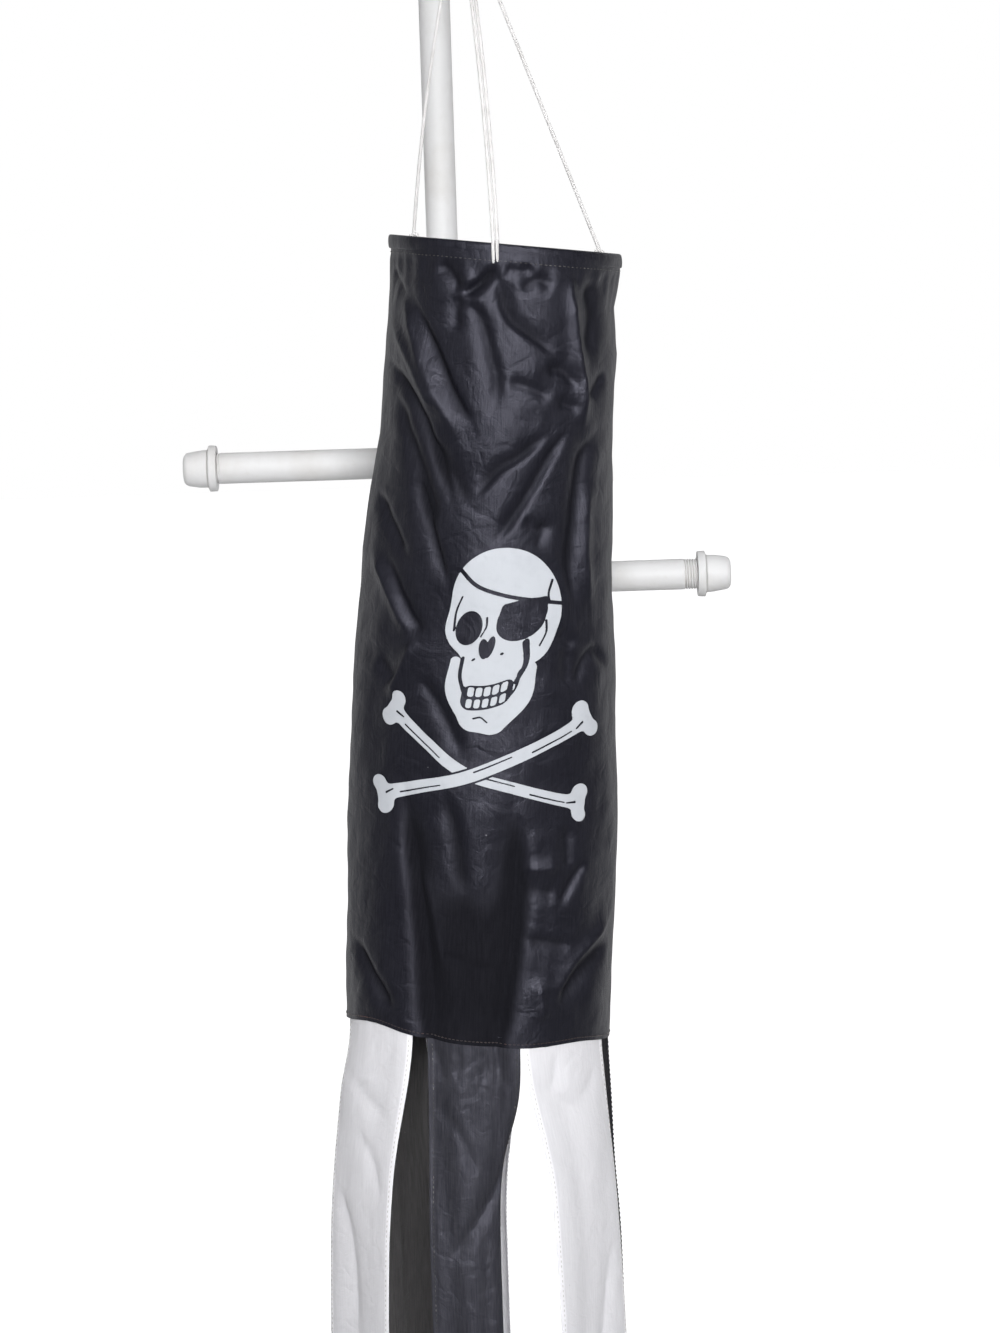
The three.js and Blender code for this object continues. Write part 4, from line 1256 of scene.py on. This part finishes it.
def makeTail(tail):
    s = tailSet
    along = np.linspace(-s["hidden"] / s["length"], 1, s["rows"])[:, None]
    share = np.linspace(-0.5, 0.5, s["columns"])[None]
    share, along = np.broadcast_arrays(share, along)
    points, out = tailPoints(tail, share, np.maximum(along, 0))
    points[..., 2] -= np.minimum(along, 0) * s["length"]
    width = lerp(s["root"], s["tip"], np.maximum(along, 0))
    fromEdge = (0.5 - np.abs(share)) * width
    fromTip = (1 - along) * s["length"]
    double = np.maximum(1 - smooth(fromEdge, s["hem"], s["hem"] + 0.0006),
                        1 - smooth(fromTip, s["hem"], s["hem"] + 0.0006))
    quads, corner = gridFaces(s["rows"], s["columns"])
    uv = corner * [1000 * s["root"] / s["columns"], 1000 * s["length"] / s["rows"]]
    piece = newPiece(tail["name"] + "_cloth", points, quads[:, ::-1], uv=uv[:, ::-1], closed=False,
                     masks={"double": double * (0.8 if tail["white"] else 0.5)})
    wall = piece.modifiers.new("wall", "SOLIDIFY")
    wall.thickness = 0.0004
    wall.offset = -1
    settle(piece)
    material = whiteNylon if tail["white"] else tail.get("cloth", blackNylon)
    finishPiece(piece, material, None, [tail["name"]])
    # stitches down both side hems
    reach = np.arange(0.004, s["length"] - 0.002, 0.0033) / s["length"]
    seams = []
    for edge in (-1, 1):
        wide = lerp(s["root"], s["tip"], reach)
        line = edge * (0.5 - 0.75 * s["hem"] / wide)
        here, _ = tailPoints(tail, line, reach)
        ahead, _ = tailPoints(tail, line, reach + 0.002)
        beside, _ = tailPoints(tail, line + 0.01, reach)
        forward = unit(ahead - here)
        outward = unit(np.cross(forward, beside - here))
        outward *= np.sign(outward @ out)[:, None]
        seams.append((here + outward * 0.0002, forward, outward))
    centres, forward, outward = (np.concatenate(part) for part in zip(*seams))
    thread = whiteThread if tail["white"] else greyThread
    stitches = stitchRow(tail["name"] + "_stitches", centres, forward, outward, 0.0019, 0.0005, thread, None)
    for part in (piece, stitches):
        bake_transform(part)


for tail in tails:
    makeTail(tail)
print("tails made")


# ---- knot and loops ----
def knotPieces():
    low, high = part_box("bridle_knot")
    centre = (np.array(low) + np.array(high)) / 2
    height = high[2] - low[2]
    t = np.linspace(0, 1, 260)
    turns = 3.2
    angle = t * turns * 2 * np.pi
    radius = 0.0029 + 0.0003 * np.sin(t * np.pi)
    z = centre[2] - height / 2 + 0.0016 + t * (height - 0.0032)
    path = np.stack([centre[0] + radius * np.cos(angle), centre[1] + radius * np.sin(angle), z], -1)
    wound = sweptPiece("knot_winding", path, cordRadius, sides=14, across=(0, 0, 1), ripple=laid)
    finishPiece(wound, whiteCord, "sock", ["bridle_knot"])
    top = centre[2] + height / 2
    offsets = ((-0.0014, -0.0012), (0.0014, -0.0012), (-0.0014, 0.0013), (0.0014, 0.0013))
    for index, (dx, dy) in enumerate(offsets):
        line = [[centre[0] + dx * 0.7, centre[1] + dy * 0.7, centre[2] - height / 2 - 0.0006],
                [centre[0] + dx * 0.5, centre[1] + dy * 0.5, centre[2]],
                [centre[0] + dx * 0.8, centre[1] + dy, top]]
        strand = sweptPiece("knot_strand_%d" % (index + 1), alongCurve(line, 60), cordRadius * 0.9, sides=12,
                            ripple=laid)
        finishPiece(strand, whiteCord, "sock")
    around = np.array([hang[0], hang[1], hang[2] - bridleRingRadius])
    for index, dx in enumerate((-0.0013, 0.0013)):
        loopRadius = bridleRingWire + cordRadius + 0.0002
        loop = circlePath(around + [dx, 0, 0], loopRadius, (0, 0, -1), (0, 1, 0), 48)
        piece = sweptPiece("ring_loop_%d" % (index + 1), loop, cordRadius, sides=12, across=(1, 0, 0),
                           closed=True, ripple=laid)
        finishPiece(piece, whiteCord, "sock")


def tieLoops():
    # each cord goes round the hoop: down over the sleeve, through the cloth under it and up inside
    s = sleeveSet
    for one in bridleSet:
        bearing, step = one["bearing"], one["step"]
        knots = [(hoopSet["radius"], s["up"] + 0.0008), (s["outer"] - 0.0002, s["up"] + 0.0004),
                 (s["outer"] + 0.0012, 0.0022), (s["outer"] + 0.0012, -0.0035),
                 (s["outer"] + 0.0002, -0.0078), (s["outer"] - 0.0035, -0.0088),
                 (s["inner"] - 0.0012, -0.005), (s["inner"] - 0.0014, 0.002), (s["inner"], s["up"] + 0.0012),
                 (hoopSet["radius"] - 0.001, s["up"] + 0.0014)]
        path = np.array([onHoop(bearing, radius, lift) for radius, lift in knots]) + [step * 0.9, 0, 0]
        turn = math.radians(bearing)
        piece = sweptPiece(one["name"] + "_tie", alongCurve(path, 150), cordRadius * 0.95, sides=14,
                           across=(math.cos(turn), math.sin(turn), 0), ripple=laid)
        finishPiece(piece, whiteCord, "sock")


knotPieces()
tieLoops()
paintNode("hoop_wire", springSteel)
print("knot made")


# ---- pole ----
pipeSet = dict(outer=0.0108, inner=0.0079, grip=0.0115, pitch=0.001814, groove=0.0009, sides=72,
               drill=0.0028, boomPast=0.03, shownRight=0.0102)
fittingSet = dict(reach=0.0284, body=0.0134, band=0.0162, bandWidth=0.006, voxel=0.0007)
capSet = dict(length=0.0235, body=0.0132, tip=0.0118, band=0.0162, bandWidth=0.0055, bore=0.0135)
flangeSet = dict(radius=0.0445, plate=0.008, hub=0.0175, height=0.028, floor=0.004, screw=0.0035,
                 circle=0.033)
seat = fittingSet["reach"] - pipeSet["grip"]
socketRadius = pipeSet["outer"] + gap


def threadedPipe(name, foot, way, length, showFoot=0.0025, showTop=0.0025):
    # outer radius less a rounded helical groove within the threads at both ends; plain between
    p = pipeSet
    low, high = p["grip"] + showFoot, length - p["grip"] - showTop
    fineLow = np.arange(0.0006, low + 0.002, 0.00024)
    fineHigh = np.arange(high - 0.002, length - 0.0006, 0.00024)
    plain = np.linspace(low + 0.002, high - 0.002, max(3, int((high - low) / 0.008)))[1:-1]
    heights = np.concatenate([fineLow, plain, fineHigh])
    outer = np.stack([np.full(len(heights), p["outer"]), heights], -1)
    inner = np.stack([np.full(len(heights), p["inner"]), heights], -1)[::-1]
    ends = [(p["outer"] - 0.0005, 0), (p["outer"] - 0.0005, length)]
    bores = [(p["inner"] + 0.0004, length), (p["inner"] + 0.0004, 0)]
    profile = np.concatenate([ends[:1], outer, ends[1:], bores[:1], inner, bores[1:]])

    def threaded(height):
        return 1 - smooth(height, low - 0.0016, low) + smooth(height, high, high + 0.0016)

    def ripple(radius, height, turn):
        wave = 0.5 - 0.5 * np.cos(height / p["pitch"] * 2 * np.pi - turn)
        isOuter = radius > p["outer"] - 0.0001
        return -p["groove"] * wave**1.5 * threaded(height) * isOuter

    def masks(points):
        radius = np.hypot(points[:, 0], points[:, 1])
        depth = np.clip((p["outer"] - radius) / p["groove"], 0, 1)
        nearEnd = threaded(points[:, 2]) * (radius > p["inner"] + 0.0008)
        patchy = 0.5 + 0.5 * wobble(points[:, 0] * 1000, points[:, 2] * 1000, 51, 18)
        return {"grime": 0.75 * depth * nearEnd * patchy}

    piece = turnedPiece(name + "_pipe", profile, foot, way, p["sides"], True, ripple, masks)
    return finishPiece(piece, whitePaint, "pole", [name])


def fittingLeg():
    f = fittingSet
    corners = [(0, 0), (f["body"], 0), (f["body"], f["reach"] - f["bandWidth"] - 0.001),
               (f["band"], f["reach"] - f["bandWidth"]), (f["band"], f["reach"]), (0, f["reach"])]
    return latheMesh(roundCorners(corners, 0.0014, 5), 64)


def fittingBore():
    f = fittingSet
    stop = seat - gap
    return latheMesh([(0, -0.001), (pipeSet["inner"], -0.001), (pipeSet["inner"], stop), (socketRadius, stop),
                      (socketRadius, f["reach"] + 0.002), (0, f["reach"] + 0.002)], 64)


def ballMesh(radius):
    # a half circle from pole to pole, turned
    a = np.linspace(-np.pi / 2, np.pi / 2, 33)
    return latheMesh(np.stack([np.cos(a) * radius, np.sin(a) * radius], -1), 48)


def pipeFitting(name, centre, directions):
    ball = moved(ballMesh(fittingSet["body"]), centre)
    legs = [moved(fittingLeg(), centre, way) for way in directions]
    bores = [moved(fittingBore(), centre, way) for way in directions]
    piece = castPiece(name + "_casting", [ball, *legs], bores, fittingSet["voxel"])
    return finishPiece(piece, whitePaint, "pole", [name])


def screwCap(name, foot, way):
    # band at the open end, a body that narrows to a soft dome, and a plain bore
    c = capSet
    dome = 0.0045
    a = np.radians(np.linspace(8, 82, 9))
    arc = np.stack([c["tip"] - dome + dome * np.cos(a), c["length"] - dome + dome * np.sin(a)], -1)
    corners = [(0, c["bore"]), (socketRadius, c["bore"]), (socketRadius, 0), (c["band"] - 0.0003, 0),
               (c["band"], c["bandWidth"]), (c["body"], c["bandWidth"] + 0.0009),
               (c["body"] - 0.0003, 0.012), (c["tip"] + 0.0002, c["length"] - dome - 0.001)]
    profile = np.concatenate([roundCorners(corners, 0.0009, 5), arc, [(c["tip"] - dome - 0.001, c["length"])],
                              [(0, c["length"])]])

    def ripple(radius, height, turn):
        # a hand-painted casting: slightly out of round
        return 0.00012 * np.sin(3 * turn + height * 300) * (radius > socketRadius + 0.0002)

    def masks(points):
        radius = np.hypot(points[:, 0], points[:, 1])
        mouth = (1 - smooth(points[:, 2], 0.0002, 0.0022)) * smooth(radius, 0.0113, 0.0108)
        root = np.exp(-(((points[:, 2] - c["bandWidth"] - 0.0008) / 0.0007) ** 2)) * 0.25
        return {"grime": np.clip(mouth + root, 0, 1)}

    piece = turnedPiece(name + "_casting", profile, foot, way, 96, False, ripple, masks)
    return finishPiece(piece, whitePaint, "pole", [name])


def floorFlange():
    f = flangeSet
    corners = [(0, 0), (f["radius"], 0), (f["radius"], f["plate"]), (f["hub"] + 0.003, f["plate"] + 0.001),
               (f["hub"], f["plate"] + 0.006), (f["hub"] - 0.0005, f["height"]), (socketRadius, f["height"]),
               (socketRadius, f["floor"]), (0, f["floor"])]
    piece = turnedPiece("floor_flange_casting", roundCorners(corners, 0.0013, 5), sides=128)
    hole = [(0, -0.002), (f["screw"], -0.002), (f["screw"], f["plate"] - 0.0014),
            (f["screw"] + 0.0022, f["plate"] + 0.0008), (f["screw"] + 0.0022, f["plate"] + 0.004),
            (0, f["plate"] + 0.004)]
    turns = [math.radians(degrees) for degrees in (45, 135, 225, 315)]
    cutAway(piece, [moved(latheMesh(hole, 40), (f["circle"] * math.cos(a), f["circle"] * math.sin(a), 0))
                    for a in turns])
    smoothUpTo(piece, 45)
    return finishPiece(piece, whitePaint, "pole", ["floor_flange"])


def makePole():
    up, down, right, left = (0, 0, 1), (0, 0, -1), (1, 0, 0), (-1, 0, 0)
    for node in ("lower_mast", "mast_nipple", "upper_mast"):
        low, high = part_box(node)
        threadedPipe(node, (0, 0, low[2]), up, high[2] - low[2])
    low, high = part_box("right_arm")
    threadedPipe("right_arm", (low[0], 0, lowerTeeHeight), right, high[0] - low[0],
                 showTop=pipeSet["shownRight"])
    low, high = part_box("left_arm")
    threadedPipe("left_arm", (high[0], 0, upperTeeHeight), left, high[0] - low[0])
    screwCap("right_arm_cap", (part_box("right_arm_cap")[0][0], 0, lowerTeeHeight), right)
    screwCap("left_arm_cap", (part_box("left_arm_cap")[1][0], 0, upperTeeHeight), left)
    heading = unit(np.array([hang[0], hang[1], 0]))
    reach = math.hypot(hang[0], hang[1])
    boomEnd = reach + pipeSet["boomPast"]
    boom = threadedPipe("boom", heading * seat + [0, 0, boomHeight], heading, boomEnd - seat)
    across = pipeSet["drill"]
    drill = latheMesh([(0, -0.02), (across, -0.02), (across, 0.02), (0, 0.02)], 32)
    cutAway(boom, [moved(drill, (hang[0], hang[1], boomHeight))])
    screwCap("boom_cap", heading * (boomEnd - pipeSet["grip"]) + [0, 0, boomHeight], heading)
    pipeFitting("lower_tee", (0, 0, lowerTeeHeight), [up, down, right])
    pipeFitting("upper_tee", (0, 0, upperTeeHeight), [up, down, left])
    pipeFitting("top_elbow", (0, 0, boomHeight), [heading, down])
    floorFlange()


makePole()
print("pole made")


# ---- hanging hardware ----
hardwareSet = dict(eyeRing=0.008, eyeWire=0.002, shank=0.0025, swivelRing=0.007, swivelWire=0.0016,
                   hookWire=0.0017, bow=0.006, collar=0.005, collarHeight=0.009, leg=0.017,
                   hangerRing=0.009, hangerWire=0.0015, washer=0.0065, washerHole=0.0028, threadPitch=0.0008,
                   gateHalf=0.0024, gateLength=0.0105, gateWire=0.0008)


def makeHardware():
    h = hardwareSet
    low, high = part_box("eye_bolt")
    eye = np.array([hang[0], hang[1], low[2] + h["eyeRing"] + h["eyeWire"]])
    # eye bolt: a rod bent into an eye, its shank threaded towards the top
    a = np.linspace(0.5 * np.pi - 0.35, 0.5 * np.pi - 2 * np.pi + 0.3, 120)[:, None]
    bend = eye + h["eyeRing"] * np.concatenate([np.cos(a), 0 * a, np.sin(a)], 1)
    neck = eye + [0, 0, h["eyeRing"] + 0.005]
    rise = np.linspace(neck[2] + 0.001, high[2] - 0.0006, 420)
    shank = np.stack([0 * rise + hang[0], 0 * rise + hang[1], rise], -1)
    turnIn = alongCurve([bend[-2], bend[-1], neck, shank[0]], 24)[8:-1]
    path = np.concatenate([bend, turnIn, shank])
    thick = np.concatenate([np.full(len(bend) + len(turnIn), h["eyeWire"]), 0 * rise + h["shank"]])
    thick[-6:] *= np.linspace(1, 0.75, 6)
    height = path[:, 2]

    def thread(_, angle):
        isThread = smooth(height, boomHeight - 0.02, boomHeight - 0.018)[:, None]
        turns = height[:, None] / h["threadPitch"]
        return 1 - 0.13 * isThread * (0.5 - 0.5 * np.cos(turns * 2 * np.pi - angle))

    bolt = sweptPiece("eye_bolt_rod", path, thick, sides=20, ripple=thread)
    finishPiece(bolt, zinc, "pole", ["eye_bolt"])
    for node in ("upper_washer", "lower_washer"):
        low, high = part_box(node)
        inner, outer, thickness = h["washerHole"], h["washer"], high[2] - low[2]
        corners = [(inner, 0), (outer, 0), (outer, thickness), (inner, thickness), (inner, 0)]
        profile = roundCorners(corners, 0.0003, 4)[:-1]
        washer = turnedPiece(node + "_disc", profile, (hang[0], hang[1], low[2]), sides=64, loop=True)
        finishPiece(washer, zinc, "pole", [node])
    for node in ("upper_nut", "lower_nut"):
        paintNode(node, zinc)
    ring = middle("hanger_ring")
    path = circlePath(ring, h["hangerRing"], (0, 1, 0), (0, 0, 1), 96)
    hanger = sweptPiece("hanger_ring_wire", path, h["hangerWire"], sides=20, across=(1, 0, 0), closed=True)
    finishPiece(hanger, zinc, "hanger", ["hanger_ring"])
    path = circlePath(hang, bridleRingRadius, (1, 0, 0), (0, 0, 1), 96)
    bridleRing = sweptPiece("bridle_ring_wire", path, bridleRingWire, sides=20, closed=True)
    finishPiece(bridleRing, zinc, "sock", ["bridle_ring"])
    # swivel: an eye on a stem whose head turns under the hook's collar
    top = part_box("swivel_eye")[1][2]
    centre = np.array([hang[0], hang[1], top - h["swivelRing"] - h["swivelWire"]])
    shoulder = -h["swivelRing"] - h["swivelWire"]
    headTop = shoulder - 2 * gap - h["collarHeight"]
    path = circlePath(centre, h["swivelRing"], (1, 0, 0), (0, 0, 1), 72)
    eyePart = sweptMesh(path, h["swivelWire"], sides=24, closed=True)
    corners = [(0, headTop - 0.002), (0.0029, headTop - 0.002), (0.0029, headTop), (0.0018, headTop),
               (0.0018, shoulder), (0.0029, shoulder), (0.0029, shoulder + 0.001),
               (0.0012, shoulder + 0.0025), (0, shoulder + 0.0025)]
    stem = latheMesh(roundCorners(corners, 0.0004, 4), 48)
    swivel = castPiece("swivel_eye_forging", [eyePart, moved(stem, centre)], [], 0.00026, 3)
    finishPiece(swivel, zinc, "swivel", ["swivel_eye"])
    # snap hook: collar, spine, bow and short arm melted into one casting
    bowCentre = hang.copy()
    bowCentre[2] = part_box("snap_hook")[0][2] + h["bow"] + h["hookWire"]
    leg, bow, wire = h["leg"], h["bow"], h["hookWire"]

    def inPlane(points):
        return np.array([[0, y, z] for y, z in points]) + bowCentre

    a = np.linspace(0, np.pi, 30)
    bend = np.stack([bow * np.cos(a), -bow * np.sin(a)], -1)
    line = [(0.0025, leg + 0.004), (bow - 0.0008, leg - 0.0005), (bow, leg - 0.004), (bow, 0.006),
            (bow, 0.0002)]
    spine = np.concatenate([alongCurve(inPlane(line), 60), inPlane(bend)])
    line = [(-0.0025, leg + 0.004), (-bow + 0.0008, leg - 0.0005), (-bow, leg - 0.0025)]
    arm = alongCurve(inPlane(line), 24)
    corners = [(0, leg), (h["collar"], leg), (h["collar"], leg + h["collarHeight"]),
               (0, leg + h["collarHeight"])]
    collar = latheMesh(roundCorners(corners, 0.0009, 5), 64)
    a = np.linspace(-np.pi / 2, np.pi / 2, 17)
    lug = latheMesh(np.stack([np.cos(a) * 0.0018, np.sin(a) * 0.003], -1), 32)
    bore = latheMesh([(0, leg - 0.001), (0.0021, leg - 0.001), (0.0021, leg + 0.011), (0, leg + 0.011)], 40)
    solids = [moved(collar, bowCentre), sweptMesh(spine, wire, sides=20, across=(1, 0, 0)),
              sweptMesh(arm, wire, sides=20, across=(1, 0, 0)),
              moved(lug, bowCentre + [0, -bow, leg - 0.004])]
    hook = castPiece("snap_hook_casting", solids, [moved(bore, bowCentre)], 0.0003, 3)
    finishPiece(hook, zinc, "sock", ["snap_hook"])
    # wire gate: a U of spring wire
    half, length = h["gateHalf"], h["gateLength"]
    pivot = bowCentre + [0, -bow, leg - 0.005]
    side = [(0.0004, 0), (half - 0.0007, 0), (half, -0.0009), (half, -0.6 * length)]
    points = [(-x, z) for x, z in side] + [(-0.7 * half, 0.001 - length), (0, 0.0002 - length),
                                           (0.7 * half, 0.001 - length)] + side[::-1]
    path = alongCurve(np.array([[x, 0, z] for x, z in points]) + pivot, 120)
    gate = sweptPiece("wire_gate_spring", path, h["gateWire"], sides=14)
    finishPiece(gate, springSteel, "gate", ["wire_gate"])


makeHardware()
print("hardware made")


# ---- floor and light ----
def makeStage():
    # a flat pale floor whose far part glows, and which the camera sees paler further from the foot
    reach = 14.0
    points = np.array([[[-reach, -reach, 0], [reach, -reach, 0]], [[-reach, reach, 0], [reach, reach, 0]]])
    quads, _ = gridFaces(2, 2)
    floor = newPiece("floor", points - [0, 0, 0.0002], quads, closed=False)
    material, tree, shader, place = newMaterial("paleFloor", Roughness=0.9)
    tone = useGroup(tree, blotches, Vector=place["Object"], Scale=1.5, Low=0.3, High=0.8)["Mask"]
    colour = mixed(tree, tone, (0.66, 0.66, 0.66, 1), (0.62, 0.62, 0.62, 1))
    tree.links.new(colour, shader.inputs["Base Color"])
    shader.inputs["Emission Color"].default_value = (1, 1, 1, 1)
    parts = addNode(tree, "ShaderNodeSeparateXYZ", {0: place["Object"]})
    away = addNode(tree, "ShaderNodeVectorMath", {0: place["Object"]}, operation="LENGTH").outputs["Value"]
    toCamera = addNode(tree, "ShaderNodeLightPath").outputs["Is Camera Ray"]
    seen = maths(tree, "MULTIPLY", ranged(tree, away, 0.6, 3.5, 0.8, 1.0), toCamera)
    glow = maths(tree, "MAXIMUM", ranged(tree, parts.outputs["Y"], 0.1, 1.0, 0.0, 1.0), seen)
    tree.links.new(glow, shader.inputs["Emission Strength"])
    finishPiece(floor, material)


def makeWorld():
    # dark all round but for a bright cone beyond the object, and white to the camera
    world = bpy.data.worlds.new("studio")
    world.use_nodes = True
    tree = world.node_tree
    background = tree.nodes["Background"]
    background.inputs["Color"].default_value = (1, 1, 1, 1)
    direction = addNode(tree, "ShaderNodeTexCoord").outputs["Generated"]
    parts = addNode(tree, "ShaderNodeSeparateXYZ", {0: direction})
    toCamera = addNode(tree, "ShaderNodeLightPath").outputs["Is Camera Ray"]
    strength = maths(tree, "MAXIMUM", ranged(tree, parts.outputs["Y"], 0.45, 0.65, 0.03, 1.0), toCamera)
    tree.links.new(strength, background.inputs["Strength"])
    scene.world = world


def softBox(name, place, target, size, power):
    data = bpy.data.lights.new(name, "AREA")
    data.shape = "RECTANGLE"
    data.size, data.size_y = size
    data.energy = power
    data.spread = math.radians(84)
    light = bpy.data.objects.new(name, data)
    light.location = place
    light.rotation_euler = (Vector(target) - Vector(place)).to_track_quat("-Z", "Y").to_euler()
    scene.collection.objects.link(light)


makeStage()
makeWorld()
softBox("keyLight", (0.25, -2.7, 1.6), (0, -0.1, 1.0), (1.1, 0.8), 21)
softBox("leftLight", (-2.2, -1.4, 1.7), (0, -0.1, 1.0), (0.6, 1.2), 2.0)
softBox("rightLight", (2.3, -1.2, 1.5), (0, -0.1, 1.0), (0.6, 1.2), 1.6)
softBox("topLight", (0, -0.6, 3.0), (0, -0.1, 1.0), (1.6, 1.2), 2.0)
print("stage made")
